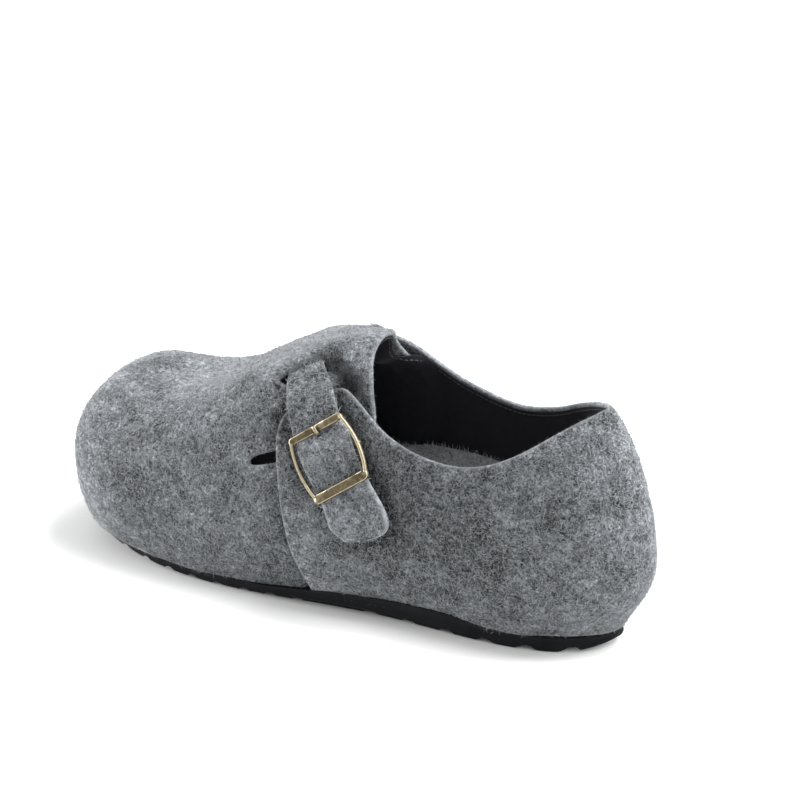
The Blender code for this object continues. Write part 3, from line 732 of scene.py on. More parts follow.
def quarter_outlines():
    """The quarter's outer and inner half on the unrolled felt: its edge from heel to sole, and its outline."""
    halves = []
    for side, name in ((-1, "outer"), (1, "inner")):
        form = np.vstack([smooth_path(side_line(QUARTER, name), 120), [QUARTER_BELOW]])

        def within(flat, side=side, form=form):
            on_felt = (flat[:, 0] > -1e-6) & (flat[:, 1] * side > 0) & (np.abs(flat[:, 1]) <= FLAT_GIRTH + 1e-6)
            return on_felt & inside(side_view(flat), form)

        foot = np.array([[0.0, side * FLAT_GIRTH]])
        heel = halve(within, foot, foot * 0)[0]
        front = halve(within, *[flat_place(np.array([station]), side) for station in QUARTER_SEARCH])[0]
        halves.append((side, within, front, abs(heel[1])))
    height = np.mean([half[-1] for half in halves])
    outlines = []
    for side, within, front, _ in halves:
        foot = np.array([0.0, side * FLAT_GIRTH])
        heel = np.array([0.0, side * height])
        centre = flat_place(QUARTER_CENTRE[0], side * QUARTER_CENTRE[1])
        ends = [np.arctan2(*(point - centre)[::-1]) for point in (heel, front)]
        turn = (ends[1] - ends[0] + np.pi) % (2 * np.pi) - np.pi
        edge = rays(within, centre, ends[0], ends[0] + turn)
        edge = evenly(np.vstack([heel, edge[1:-1], front]), FELT_SPACING)
        outline = chained(*legs([foot, heel], FELT_SPACING), edge, *legs([front, foot], FELT_SPACING))
        outlines.append({"edge": edge, "outline": outline})
    return outlines


QUARTER_HALVES = quarter_outlines()


def vamp_rear():
    """Rear edge of the vamp on the unrolled felt, from the outer sole edge to the inner one."""
    heights = np.linspace(*VAMP_REAR["height"][[0, -1]], 400)
    rear = spline(VAMP_REAR["height"], VAMP_REAR["along"], heights)

    def within(flat):
        view = side_view(flat)
        ahead = np.interp(flat[:, 1] / FLAT_GIRTH, INNER_REAR["girth"], INNER_REAR["ahead"])
        return view[:, 0] - ahead > np.interp(view[:, 1], heights, rear)

    girth = np.linspace(-1, 1, 401)
    edge = halve(within, *[flat_place(station + 0 * girth, girth) for station in REAR_SEARCH])
    return evenly(edge, FELT_SPACING)


REAR_EDGE = vamp_rear()


def ahead_of_rear(flat):
    """How far places of the unrolled felt lie in front of the vamp's rear edge."""
    return flat[:, 0] - np.interp(flat[:, 1], REAR_EDGE[:, 1], REAR_EDGE[:, 0])


def vamp_outline(spacing):
    """The vamp on the unrolled felt: its rear edge, inner sole edge, toe fold and outer sole edge."""
    rear = evenly(REAR_EDGE, spacing)
    return chained(rear, *legs([rear[-1], *TOE_FOLD, rear[0]], spacing))


def slit_outline(name, side):
    """A side slit on the unrolled felt."""
    form = soft_corners(side_line(SLIT, name))

    def within(flat):
        return (flat[:, 1] * side > 0) & inside(side_view(flat), form)

    stations_searched, girths_searched = SLIT_SEARCH
    station, girth = np.meshgrid(np.linspace(*stations_searched, 90), np.linspace(*girths_searched, 100) * side)
    trial = flat_place(station.ravel(), girth.ravel())
    centre = trial[within(trial)].mean(0)
    line = rays(within, centre, 0, 2 * np.pi, 400)
    return evenly(line, FELT_SPACING)[:-1]


SLITS = [slit_outline("outer", -1), slit_outline("inner", 1)]


def slot_outline(slot):
    """A strap slot on the unrolled felt."""
    line = soft_corners(flat_place(slot["station"], slot["girth"]))
    return evenly(np.vstack([line, line[:1]]), FELT_SPACING)[:-1]


def away_from(points, line):
    """Distance of each point from the nearest point of a line, both of them flat or both in space."""
    points, line = (np.pad(some, ((0, 0), (0, 3 - some.shape[1]))) for some in (points, line))
    near = kdtree.KDTree(len(line))
    for i, point in enumerate(line):
        near.insert(point, i)
    near.balance()
    return np.array([near.find(point)[2] for point in points])


def cut_felt(outline, holes, spacing):
    """Points and triangles of a flat piece of felt, evenly spread inside its outline and around its holes."""

    def on_felt(points):
        keep = inside(points, outline)
        for hole in holes:
            keep &= ~inside(points, hole)
        return keep

    loops = [outline, *holes]
    rim = np.concatenate(loops)
    edges = []
    for loop in loops:
        start = len(edges)
        edges.extend((start + i, start + (i + 1) % len(loop)) for i in range(len(loop)))
    low, high = outline.min(0), outline.max(0)
    rows = np.arange(low[1], high[1], spacing * ROW_SHARE)
    columns = np.arange(low[0], high[0], spacing)
    grid = np.stack(np.broadcast_arrays(columns[None, :], rows[:, None]), -1).copy()
    grid[1::2, :, 0] += spacing / 2
    grid = grid.reshape(-1, 2)
    grid = grid[on_felt(grid)]
    points = np.concatenate([rim, grid[away_from(grid, rim) > RIM_SHARE * spacing]])
    points, _, faces, *_ = geometry.delaunay_2d_cdt([Vector(point) for point in points], edges, [], 0, 1e-4)
    points = np.array([tuple(point) for point in points])
    faces = np.array(faces)[:, ::-1]
    return points, faces[on_felt(points[faces].mean(1))]


def surface_normals(points, faces):
    """Unit normals of a surface of triangles at its points."""
    a, b, c = (points[faces[:, i]] for i in range(3))
    normal = np.cross(b - a, c - a)
    total = np.zeros_like(points)
    for i in range(3):
        np.add.at(total, faces[:, i], normal)
    return unit_rows(total)


def relief(flat, creases):
    """Height of soft troughs and ridges at places of the unrolled felt."""
    # With the zones table the sum is painted light and painted shade, not height
    height = np.zeros(len(flat))
    for station, girth, to_station, to_girth, width, rise in zip(*creases.values()):
        start = flat_place(station, girth)
        span = flat_place(to_station, to_girth) - start
        share = np.clip((flat - start) @ span / (span @ span), 0, 1)
        away = np.linalg.norm(flat - start - share[:, None] * span, axis=1)
        height += rise * bell(away, width)
    return height


def pressed(away, steps):
    """Height of felt pressed down at a distance from what lies on it."""
    return -sum(depth * bell(away, width) for depth, width in steps)


def strap_press(flat):
    """Height of the felt pressed down by the strap, from its tail to the outer slot and from the inner one on."""
    height = np.zeros(len(flat))
    for ends in PRESSED_ROWS:
        rows = route_rows(np.linspace(*ends, 60))
        front = flat_place(rows["front_station"], rows["front_girth"])
        rear = flat_place(rows["rear_station"], rows["rear_girth"])
        outline = evenly(np.vstack([front, rear[::-1], front[:1]]), PRESS_SPACING)
        away = away_from(flat, outline)
        away[inside(flat, outline)] = 0
        height += pressed(away, STRAP_PRESS)
    return height


def vamp_press(flat):
    """Height of the vamp pressed down by the strap and along the edge of the quarter."""
    height = strap_press(flat)
    for half in QUARTER_HALVES:
        height += pressed(away_from(flat, half["edge"]), QUARTER_PRESS)
    return height


def vamp_lift(flat, points):
    """Height of the vamp's outside over the skin."""
    return relief(flat, VAMP_CREASES) + vamp_press(flat) + lumps(points, *VAMP_LUMPS)


def vamp_painted_light(flat):
    """Painted light and painted shade on the vamp: its zones, and painted shade darkest where it is pressed in."""
    return relief(flat, PAINTED_LIGHT_ZONES) + PRESS_PAINTED_SHADE * vamp_press(flat)


def quarter_lift(flat, points):
    """Height of the quarter's outside over the skin."""
    shape = overlay_at(points) + relief(flat, QUARTER_CREASES) + strap_press(flat)
    return shape + lumps(points, *QUARTER_LUMPS)


def quarter_painted_light(flat):
    """The same for the quarter, with painted light along the inner side of its collar."""
    tone, width = COLLAR_PAINTED_LIGHT
    collar = tone * bell(away_from(flat, QUARTER_HALVES[1]["edge"]), width) * (flat[:, 1] > 0)
    return relief(flat, PAINTED_LIGHT_ZONES) + PRESS_PAINTED_SHADE * strap_press(flat) + collar


def below_quarter(flat):
    """Which places of the vamp lie under the quarter."""
    hidden = np.zeros(len(flat), bool)
    for half in QUARTER_HALVES:
        hidden |= inside(flat, half["outline"]) & (away_from(flat, half["edge"]) > HIDDEN_FROM)
    return hidden


def no_change(flat):
    """Nothing at any place of the unrolled felt."""
    return np.zeros(len(flat))


def lumps(points, *kinds):
    """Uneven thickness of pressed wool: soft lumps, each kind with its size and height."""
    return sum(
        height * np.array([noise.noise(Vector(point) / size) for point in points]) for size, height in kinds
    )


def new_object(name, data):
    """An object of the scene that shows the data."""
    obj = bpy.data.objects.new(name, data)
    bpy.context.scene.collection.objects.link(obj)
    return obj


def tag(mesh, label, values):
    """A named attribute of a mesh: booleans belong to its faces, numbers to its points."""
    values = np.asarray(values)
    kind, domain = ("BOOLEAN", "FACE") if values.dtype == bool else ("FLOAT", "POINT")
    mesh.attributes.new(label, kind, domain).data.foreach_set("value", values.ravel())


def mesh_object(name, points, faces, smooth=True, **attributes):
    """A mesh object from millimetre points, with attributes by name."""
    mesh = bpy.data.meshes.new(name)
    mesh.from_pydata((np.asarray(points) * MM).tolist(), [], [tuple(face) for face in faces])
    for label, values in attributes.items():
        tag(mesh, label, values)
    if smooth:
        mesh.shade_smooth()
    mesh.update()
    return new_object(name, mesh)


def welded(patches):
    """Patches of unrolled felt as one surface on the skin, joined where their points meet."""
    flats = np.concatenate([points for points, _ in patches])
    starts = np.cumsum([0] + [len(points) for points, _ in patches])
    faces = np.concatenate([faces + start for (_, faces), start in zip(patches, starts)])
    points = skin(*skin_place(flats))
    _, first, which = np.unique(np.round(points, 3), axis=0, return_index=True, return_inverse=True)
    faces = which.ravel()[faces]
    whole = (faces[:, 0] != faces[:, 1]) & (faces[:, 1] != faces[:, 2]) & (faces[:, 2] != faces[:, 0])
    return flats[first], points[first], faces[whole]


def sheet(name, patches, lift, thickness, rim_steps=4, tone=no_change, covered=no_change):
    """A felt or cloth sheet on the skin with rounded edges: patches, lift of its outside, thickness, painted shading.
    """
    flat, points, faces = welded(patches)
    points = points + surface_normals(points, faces) * lift(flat, points)[:, None]
    normals = surface_normals(points, faces)
    below = points - normals * thickness
    sides = np.concatenate([faces[:, [0, 1]], faces[:, [1, 2]], faces[:, [2, 0]]])
    known = {(a, b) for a, b in sides.tolist()}
    border = [(a, b) for a, b in known if (b, a) not in known]
    after = dict(border)
    before = {b: a for a, b in border}
    loop = np.array(sorted(after))
    run = points[[after[i] for i in loop]] - points[[before[i] for i in loop]]
    out = unit_rows(np.cross(run, normals[loop]))
    at_sole = np.abs(flat[loop, 1]) > FLAT_GIRTH - 0.01
    bulge = np.where(at_sole, SOLE_BULGE * GAP, RIM_BULGE * thickness)
    layers = [points]
    middle = (points[loop] + below[loop]) / 2
    for step in range(1, rim_steps):
        turn = np.pi * step / rim_steps
        up = normals[loop] * (thickness / 2 * np.cos(turn))
        layers.append(middle + up + out * (bulge * np.sin(turn))[:, None])
    layers.append(below)
    start = np.cumsum([0] + [len(layer) for layer in layers])
    ring = {vertex: i for i, vertex in enumerate(loop)}

    def row(step, vertex):
        return start[step] + (vertex if step in (0, rim_steps) else ring[vertex])

    rims = []
    for a, b in border:
        for step in range(rim_steps):
            rims.append((row(step, b), row(step, a), row(step + 1, a), row(step + 1, b)))
    from_edge = away_from(points, points[loop[~at_sole]])
    seen = ~np.asarray(covered(flat), bool)
    shown = seen[faces].any(1)
    rim_shown = np.repeat([seen[a] for a, _ in border], rim_steps)
    back = np.zeros(len(faces), bool)
    # Painted light and painted shade of each point, carried to the material as the shade attribute
    shade = tone(flat)
    return mesh_object(
        name,
        np.concatenate(layers),
        [*faces.tolist(), *rims, *(faces[:, ::-1] + start[-2]).tolist()],
        edge=np.concatenate([from_edge, np.zeros(start[-2] - len(points)), from_edge]),
        shade=np.r_[shade, np.tile(shade[loop], rim_steps - 1), shade],
        outside=np.r_[shown, rim_shown, back],
        field=np.r_[shown & (from_edge[faces].min(1) > FIELD_FROM), np.zeros(len(rims), bool), back],
    )


def make_vamp():
    """Felt from the tongue to the toe, with slits and strap slots."""
    holes = [*SLITS, slot_outline(OUTER_SLOT), slot_outline(INNER_SLOT)]
    patch = cut_felt(vamp_outline(FELT_SPACING), holes, FELT_SPACING)
    return sheet("vamp", [patch], vamp_lift, WALL, tone=vamp_painted_light, covered=below_quarter)


def make_quarter():
    """Felt round the heel, laid over the vamp."""
    patches = [cut_felt(half["outline"], [], FELT_SPACING) for half in QUARTER_HALVES]
    return sheet("quarter", patches, quarter_lift, QUARTER_THICK, tone=quarter_painted_light)


def lining_edge():
    """Edge of the lining on the unrolled felt, along the edges of collar and tongue."""
    lines = []
    for half in QUARTER_HALVES:
        behind = half["edge"][ahead_of_rear(half["edge"]) < 0]
        lines.append(behind[np.abs(behind[:, 1]) < COLLAR_GIRTH * FLAT_GIRTH])
    outer, inner = lines
    tongue = REAR_EDGE[(REAR_EDGE[:, 1] > outer[-1, 1]) & (REAR_EDGE[:, 1] < inner[-1, 1])]
    return evenly(np.vstack([outer, tongue, inner[::-1]]), LINING_SPACING)


def set_in(line, distance):
    """A line round the collar moved away from the opening."""
    run = unit_rows(np.gradient(line, axis=0))
    line = line + np.stack([run[:, 1], -run[:, 0]], 1) * distance
    line[:, 0] = np.maximum(line[:, 0], 0.0)
    line[0, 0] = line[-1, 0] = 0.0
    return line


def lining_lift(flat, points):
    """Height of the lining's felt side over the skin: below quarter, vamp and the strap under the tongue."""
    share = ease((ahead_of_rear(flat) + LINING_EASE) / LINING_EASE)
    station, girth = skin_place(flat)
    middle, length, breadth, depth = STRAP_BULGE
    strap = bell(station - middle, length, 4) * bell(girth, breadth, 4)
    under_quarter = quarter_lift(flat, points) - QUARTER_THICK
    under_vamp = np.minimum(LINING_HOLLOW * vamp_lift(flat, points), 0) - WALL - LINING_BELOW - depth * strap
    width, depth = SLIT_BULGE
    for slit in SLITS:
        under_vamp = under_vamp - depth * bell(np.linalg.norm(flat - slit.mean(0), axis=1), width, 4)
    return under_quarter * (1 - share) + np.minimum(under_vamp, -WALL) * share - LINING_GAP


def make_lining():
    """Dark cloth inside the felt, from heel to toe, bulging inwards over the strap below the tongue."""
    line = set_in(lining_edge(), LINING_SET_IN)
    corners = [line[-1], (0.0, FLAT_GIRTH), *TOE_FOLD, (0.0, -FLAT_GIRTH), line[0]]
    outline = chained(line, *legs(corners, LINING_SPACING))
    return sheet("lining", [cut_felt(outline, [], LINING_SPACING)], lining_lift, LINING_THICK, 3)


def route_rows(at):
    """Rows of the strap's route at places along it: edges, underside and thickness."""
    known = np.arange(len(STRAP_ROUTE["lift"]))
    middle = [
        (STRAP_ROUTE[f"front_{column}"] + STRAP_ROUTE[f"rear_{column}"]) / 2 for column in ("station", "girth")
    ]
    mark = marks(flat_place(*middle))
    run = np.interp(at, known, mark)
    rows = {column: spline(mark, STRAP_ROUTE[column], run) for column in list(STRAP_ROUTE)[:4]}
    for column in ("on_quarter", "lift", "thickness"):
        rows[column] = np.interp(at, known, STRAP_ROUTE[column])
    return rows


def softened(values, width):
    """Values along the strap with their steps spread over a width of rows."""
    kernel = np.hanning(2 * width + 3)[1:-1]
    padded = np.r_[np.full(width, values[0]), values, np.full(width, values[-1])]
    return np.convolve(padded, kernel / kernel.sum(), "valid")


def loft_faces(rows, count, closed=False):
    """Faces through closed rows of points, back to the first row or with the two end rows as caps."""
    faces = [] if closed else [tuple(range(count))[::-1], tuple(range((rows - 1) * count, rows * count))]
    for row in range(rows if closed else rows - 1):
        low = row * count
        high = (row + 1) % rows * count
        for j in range(count):
            k = (j + 1) % count
            faces.append((low + j, low + k, high + k, high + j))
    return faces


def outward(obj, weld=None):
    """The same object with its faces turned outwards, its points closer than a weld distance made one."""
    shape = bmesh.new()
    shape.from_mesh(obj.data)
    if weld:
        bmesh.ops.remove_doubles(shape, verts=shape.verts, dist=weld)
        bmesh.ops.dissolve_degenerate(shape, edges=shape.edges, dist=weld)
    bmesh.ops.recalc_face_normals(shape, faces=shape.faces)
    shape.to_mesh(obj.data)
    shape.free()
    return obj


def loft(name, rows, closed=False, **attributes):
    """A body through rows of points, with attributes by name, each one number or one for every row or point."""
    rows = np.asarray(rows, float)
    faces = loft_faces(len(rows), rows.shape[1], closed)
    values = {label: np.broadcast_to(value, rows.shape[:2]) for label, value in attributes.items()}
    return outward(mesh_object(name, rows.reshape(-1, 3), faces, **values))


def strap_section(width):
    """Section of the strap, a band with round edges: share across and height from 0 to 1."""
    radius = min(0.45, STRAP / 2 / width)
    across = np.linspace(radius, 1 - radius, STRAP_ACROSS)
    turn = np.linspace(-np.pi / 2, np.pi / 2, STRAP_ROUND + 2)[1:-1]
    far = np.stack([1 - radius + radius * np.cos(turn), 0.5 + 0.5 * np.sin(turn)], 1)
    near = np.stack([radius - radius * np.cos(turn), 0.5 - 0.5 * np.sin(turn)], 1)
    low = np.stack([across, 0 * across], 1)
    high = np.stack([across[::-1], 0 * across + 1], 1)
    return np.concatenate([low, far, high, near])


def make_strap():
    """Felt strap along its route, with round edges, a hole for the prong and a pressed line round its tail."""
    at = np.arange(0, len(STRAP_ROUTE["lift"]) - 1 + 1e-6, 1 / STRAP_STEPS)
    rows = route_rows(at)
    for column in ("on_quarter", "lift"):
        rows[column] = softened(rows[column], STRAP_SOFT)
    points = []
    edges = []
    shades = []
    for i, row in enumerate(at):
        front, rear = (np.array([rows[f"{edge}_station"][i], rows[f"{edge}_girth"][i]]) for edge in ("front", "rear"))
        width = np.linalg.norm(skin(*rear) - skin(*front))
        share, height = strap_section(width).T
        spot = (front + (rear - front) * share[:, None]).T
        base = skin(*spot)
        under = rows["on_quarter"][i] * overlay_at(base) + rows["lift"][i]
        from_edge = np.minimum(np.minimum(share, 1 - share) * width, (row + TAIL_START) * TAIL_ROW)
        line = LINE_DEPTH * bell(from_edge - LINE_SET_IN, LINE_WIDTH)
        line = line * np.clip(1 - (row - TAIL_END) / LINE_FADE, 0, 1)
        crown = STRAP_CROWN * (1 - (2 * share - 1) ** 4) - line
        lift = under + rows["thickness"][i] * height + crown * height
        points.append(base + skin_normal(*spot) * lift[:, None])
        # Pale edge round the tail, partly painted highlight, fading out further up the strap
        edges.append(from_edge + EDGE_FADE * np.clip(row - TAIL_END, 0, 1))
        # Painted light on the tail, painted shade further up, darker painted shade on hidden rows and the underside
        seen = (height > 0.3) & (row < HIDDEN_ROWS[0] or row > HIDDEN_ROWS[1])
        tone = TAIL_PAINTED_LIGHT + (STRAP_PAINTED_SHADE - TAIL_PAINTED_LIGHT) * np.clip(row - TONE_ROW, 0, 1)
        shades.append(np.where(seen, tone, HIDDEN_PAINTED_SHADE))
    points = np.array(points)
    points[..., 2] += lumps(points.reshape(-1, 3), STRAP_LUMPS).reshape(points.shape[:2])
    strap = loft("felt_strap", points, edge=edges, shade=shades)
    beside = PRONG_WIDTH / 2 + GAP
    strap = cut(strap, seat_box("prong_hole", buckle_seat(), PRONG_HOLE, (-beside, beside), HOLE_DEPTHS))
    shade = np.array([entry.value for entry in strap.data.attributes["shade"].data])
    seen = [shade[list(face.vertices)].min() > HIDDEN_PAINTED_SHADE + 0.1 for face in strap.data.polygons]
    for label in ("outside", "field"):
        tag(strap.data, label, seen)
    return strap


def cut(obj, *cutters):
    """An object with cutters taken away from it, the cutters removed."""
    for cutter in cutters:
        modifier = obj.modifiers.new("cut", "BOOLEAN")
        modifier.operation = "DIFFERENCE"
        modifier.object = cutter
    obj = settled(obj)
    for cutter in cutters:
        bpy.data.objects.remove(cutter)
    return obj


def settled(obj):
    """The object with its modifiers turned into a plain mesh."""
    mesh = plain_mesh(obj)
    obj.modifiers.clear()
    mesh.name = obj.name
    obj.data = mesh
    return obj


def plain_mesh(obj):
    """The mesh that an object's modifiers make."""
    graph = bpy.context.evaluated_depsgraph_get()
    return bpy.data.meshes.new_from_object(obj.evaluated_get(graph), depsgraph=graph)


def leaned(first, second, angle):
    """Two axes turned by an angle, the first one away from the second."""
    cos, sin = np.cos(angle), np.sin(angle)
    return first * cos - second * sin, second * cos + first * sin


def bar_spot(number):
    """Where a bar of the buckle lies: skin point and normal."""
    spot = BAR_SEATS["station"][number], BAR_SEATS["girth"][number]
    return skin(*spot), skin_normal(*spot)


def buckle_seat():
    """Axes of the buckle: up the strap, over its width and out, from the middle of its two bar seats."""
    seats = []
    for number in (0, 2):
        point, normal = bar_spot(number)
        seats.append(point + normal * (overlay_at(point) + SEAT + STRAP + FRAME_LIFT))
    _, out = bar_spot(1)
    up = unit_rows(seats[1] - seats[0])
    out = unit_rows(out - up * (out @ up))
    width = np.cross(out, up)
    up, out = leaned(up, out, TOP_LEAN)
    width, out = leaned(width, out, SIDE_LEAN)
    origin = (seats[0] + seats[1]) / 2 + BUCKLE_SHIFT[0] * up + BUCKLE_SHIFT[1] * width + BUCKLE_SHIFT[2] * out
    return {"origin": origin, "up": up, "width": width, "out": out}


def seat_points(seat, up, width, out):
    """Points given in the buckle's axes."""
    up, width, out = (values[..., None] for values in np.broadcast_arrays(up, width, out))
    return seat["origin"] + up * seat["up"] + width * seat["width"] + out * seat["out"]


def seat_box(name, seat, up, width, out):
    """A box in the buckle's axes, between two values along each."""
    corners = np.array([(0, 0), (1, 0), (1, 1), (0, 1)])
    ups = np.array(up)[corners[:, 0]]
    widths = np.array(width)[corners[:, 1]]
    return loft(name, [seat_points(seat, ups, widths, level) for level in out])


def rounded_section(width, height, corner, steps=4):
    """Points of a rectangle with rounded corners, its middle at the origin, and how far each is on a corner."""
    points = []
    wear = []
    for quarter, (right, up) in enumerate(QUADRANTS):
        for step in range(steps + 1):
            angle = np.pi / 2 * (quarter + step / steps)
            across = right * (width / 2 - corner) + corner * np.cos(angle)
            points.append((across, up * (height / 2 - corner) + corner * np.sin(angle)))
            wear.append(np.sin(np.pi * step / steps))
    return np.array(points), np.array(wear)


def centre_height(seat):
    """Height of the centre bar in the buckle's axes: its eye clears the quarter below it."""
    point, normal = bar_spot(1)
    surface = point + normal * overlay_at(point)
    return (surface - seat["origin"]) @ seat["out"] + GAP + EYE_RADIUS


def make_buckle_frame(seat):
    """Two flat bars and two bowed rails in one loop, a notch for the prong, and a centre bar below the rails."""
    half = FRAME_LENGTH / 2
    reach = (FRAME_WIDTH - RAIL) / 2
    beside = PRONG_WIDTH / 2 + GAP
    loop = []
    for corner, (up_side, width_side) in enumerate(QUADRANTS):
        for angle in np.radians(np.linspace(0, 90, 9)) + corner * np.pi / 2:
            up = up_side * (half - FRAME_CORNER) + FRAME_CORNER * np.cos(angle)
            width = width_side * (reach - FRAME_CORNER) + FRAME_CORNER * np.sin(angle)
            loop.append((up, width, angle))
        if corner % 2 == 0:
            for share in np.linspace(1, -1, 33)[1:-1]:
                loop.append((up * share, width + np.sign(width) * RAIL_BOW * (1 - share**2), angle))
        else:
            steps = [-width * 0.5, -beside - 0.05, -beside, beside, beside + 0.05, width * 0.5]
            loop.extend((up, step, angle) for step in sorted(steps, reverse=width > 0))
    rows = []
    wears = []
    for up, width, angle in loop:
        rail = np.sin(angle) ** 2
        bar = TOP_BAR_SIZE if up > 0 else BOTTOM_BAR_SIZE
        depth = bar[0] * (1 - rail) + RAIL * rail
        height = bar[1] * (1 - rail) + RAIL_HEIGHT * rail
        level = bar[1] / 2
        if up > 0 and abs(width) <= beside and rail < 0.01:
            height = NOTCH_FLOOR
            level = height / 2
        shape, wear = rounded_section(depth, height, BEVEL)
        sag = RAIL_SAG * rail * max(0, 1 - (up / half) ** 2)
        out = level * (1 - rail) + RAIL_LEVEL * rail - sag + shape[:, 1]
        rows.append(seat_points(seat, up + shape[:, 0] * np.cos(angle), width + shape[:, 0] * np.sin(angle), out))
        wears.append(np.maximum(wear, rail * RAIL_WEAR))
    level = centre_height(seat)
    side = reach + RAIL_BOW
    path = [(-side, RAIL_LEVEL), (-side, level + BAR_BEND), (-side + BAR_BEND, level)]
    path = smooth_path(np.array(path + [(-width, out) for width, out in path[::-1]]), 40)
    slope = unit_rows(np.gradient(path, axis=0))
    turn = round_turn(16)
    off = CENTRE_BAR_RADIUS * np.sin(turn)
    bar_rows = [
        seat_points(seat, CENTRE_BAR_RADIUS * np.cos(turn), width - rise * off, out + run * off)
        for (width, out), (run, rise) in zip(path, slope)
    ]
    loop = loft("brass_frame", rows, True, wear=wears)
    return joined(loop, loft("centre_bar", bar_rows, wear=BAR_WEAR))


def joined(*parts):
    """Several mesh objects as one, named after the first."""
    with bpy.context.temp_override(active_object=parts[0], object=parts[0], selected_editable_objects=list(parts)):
        bpy.ops.object.join()
    return parts[0]


def make_prong(seat):
    """A tongue from an eye round the centre bar, below the strap, through its hole and onto the top bar."""
    half = FRAME_LENGTH / 2
    level = centre_height(seat)
    hole = CENTRE_BAR_RADIUS + EYE_ROOM
    middle = (EYE_RADIUS + hole) / 2
    shape, _ = rounded_section(EYE_RADIUS - hole, PRONG_WIDTH, 0.2, 3)
    radius = middle + shape[:, 0]
    eye_rows = [
        seat_points(seat, radius * np.cos(angle), shape[:, 1], level + radius * np.sin(angle))
        for angle in round_turn(40)
    ]
    rest = NOTCH_FLOOR + GAP + PRONG_THICK / 2
    path = smooth_path(
        [
            (1.2, level),
            (5.0, level - 0.4),
            (8.4, -2.1),
            (9.9, -1.2),
            (10.9, 0.4),
            (half - 0.8, rest - 0.15),
            (half + 0.3, rest),
            (half + 1.3, rest),
        ],
        60,
    )
    slope = unit_rows(np.gradient(path, axis=0))
    mark = marks(path)
    rows = []
    wears = []
    for (up, out), (run, rise), from_tip in zip(path, slope, mark[-1] - mark):
        tip = np.sqrt(max(0.02, 1 - np.clip(1 - from_tip / PRONG_TIP, 0, 1) ** 2))
        shape, wear = rounded_section((PRONG_WIDTH - 0.2) * tip, PRONG_THICK * (0.35 + 0.65 * tip), 0.4 * tip)
        rows.append(seat_points(seat, up - rise * shape[:, 1], shape[:, 0], out + run * shape[:, 1]))
        wears.append(wear * 0.5 + 0.5)
    prong = loft("brass_prong", rows, wear=wears)
    return joined(prong, loft("prong_eye", eye_rows, True, wear=EYE_WEAR))


def rivet_axes():
    """The rivet's seat on the skin, its outward axis and two directions across it."""
    origin = skin(RIVET_STATION, RIVET_GIRTH)
    out = skin_normal(RIVET_STATION, RIVET_GIRTH)
    side = unit_rows(np.cross(out, (0.0, 0.0, 1.0)))
    return origin, out, side, np.cross(out, side)


def make_rivet():
    """Domed cap on the strap's tab, a shank, and a flat washer inside."""
    origin, out, side, other = rivet_axes()
    top = overlay_at(origin) + SEAT + STRAP + GAP
    back = -WALL - 1.5 * GAP
    profile = [(radius, back + height) for radius, height in zip(*RIVET_WASHER.values())]
    profile += [(RIVET_SHANK, back), (RIVET_SHANK, top), (RIVET_CAP - 0.15, top), (RIVET_CAP, top + 0.2)]
    for turn in np.radians(np.linspace(5, 88, 12)):
        profile.append((RIVET_CAP * np.cos(turn), top + 0.25 + RIVET_DOME * np.sin(turn)))
    turn = round_turn(48)[:, None]
    circle = np.cos(turn) * side + np.sin(turn) * other
    rows = [origin + out * height + circle * radius for radius, height in profile]
    wear = []
    for radius, height in profile:
        edge_wear_and_highlight = 0.8 if height > top + 1.1 or radius > RIVET_CAP - 0.1 else 0.3
        # -1 marks the washer inside, which gets painted shade, near black
        wear.append([edge_wear_and_highlight if height > 0 else -1.0])
    return loft("brass_rivet", rows, wear=wear)


COLUMNS = 120


def stations():
    """Stations from heel to toe, closer together at both ends."""
    return LENGTH * (1 - np.cos(np.linspace(0, np.pi, COLUMNS + 1))) / 2


def ring_of(outer, inner):
    """One closed ring from the columns of both sides, which share their first and last."""
    return np.concatenate([outer, inner[..., -2:0:-1, :]], axis=-2)


def middle_line(ring):
    """Line from heel to toe midway between the two sides of a ring."""
    return 0.5 * (ring[: COLUMNS + 1] + np.roll(ring[::-1], 1, 0)[: COLUMNS + 1])


def ring_body(name, rings, bottom, top):
    """A closed body of rings from the bottom up, closed below and above by a line from heel to toe."""
    count = rings.shape[1]
    half = count // 2
    line = [j if j <= half else count - j for j in range(count)]
    points = np.concatenate([bottom, rings.reshape(-1, 3), top])
    first_top = len(points) - len(top)
    rows = [half + 1 + row * count for row in range(len(rings))]
    faces = []
    for j in range(count):
        k = (j + 1) % count
        faces.append((line[j], line[k], rows[0] + k, rows[0] + j))
        for low, high in zip(rows, rows[1:]):
            faces.append((low + j, low + k, high + k, high + j))
        faces.append((rows[-1] + j, rows[-1] + k, first_top + line[k], first_top + line[j]))
    return outward(mesh_object(name, points, faces), WELD * MM)


def skin_rings(low_rows=8, high_rows=24):
    """Rings of skin points from the sole edge up, and their outward normals."""
    station = stations()
    shares = np.r_[
        np.linspace(1, WIDEST_GIRTH, low_rows, endpoint=False),
        np.linspace(WIDEST_GIRTH, 0, high_rows, endpoint=False),
    ]
    outer = skin(station[None, :], -shares[:, None])
    inner = skin(station[None, :], shares[:, None])
    rings = ring_of(outer, inner)
    ridge = skin(station, 0.0)
    rows = np.concatenate([rings, ring_of(ridge, ridge)[None]])
    climb = np.gradient(rows, axis=0)[:-1]
    run = np.roll(rings, -1, 1) - np.roll(rings, 1, 1)
    upright = np.clip((CREST_GIRTH - shares) / (CREST_GIRTH - CREST_TOP), 0, 1)[:, None, None]
    normals = unit_rows(np.cross(climb, run)) * (1 - upright) + np.array([0, 0, 1.0]) * upright
    return rings, unit_rows(normals)


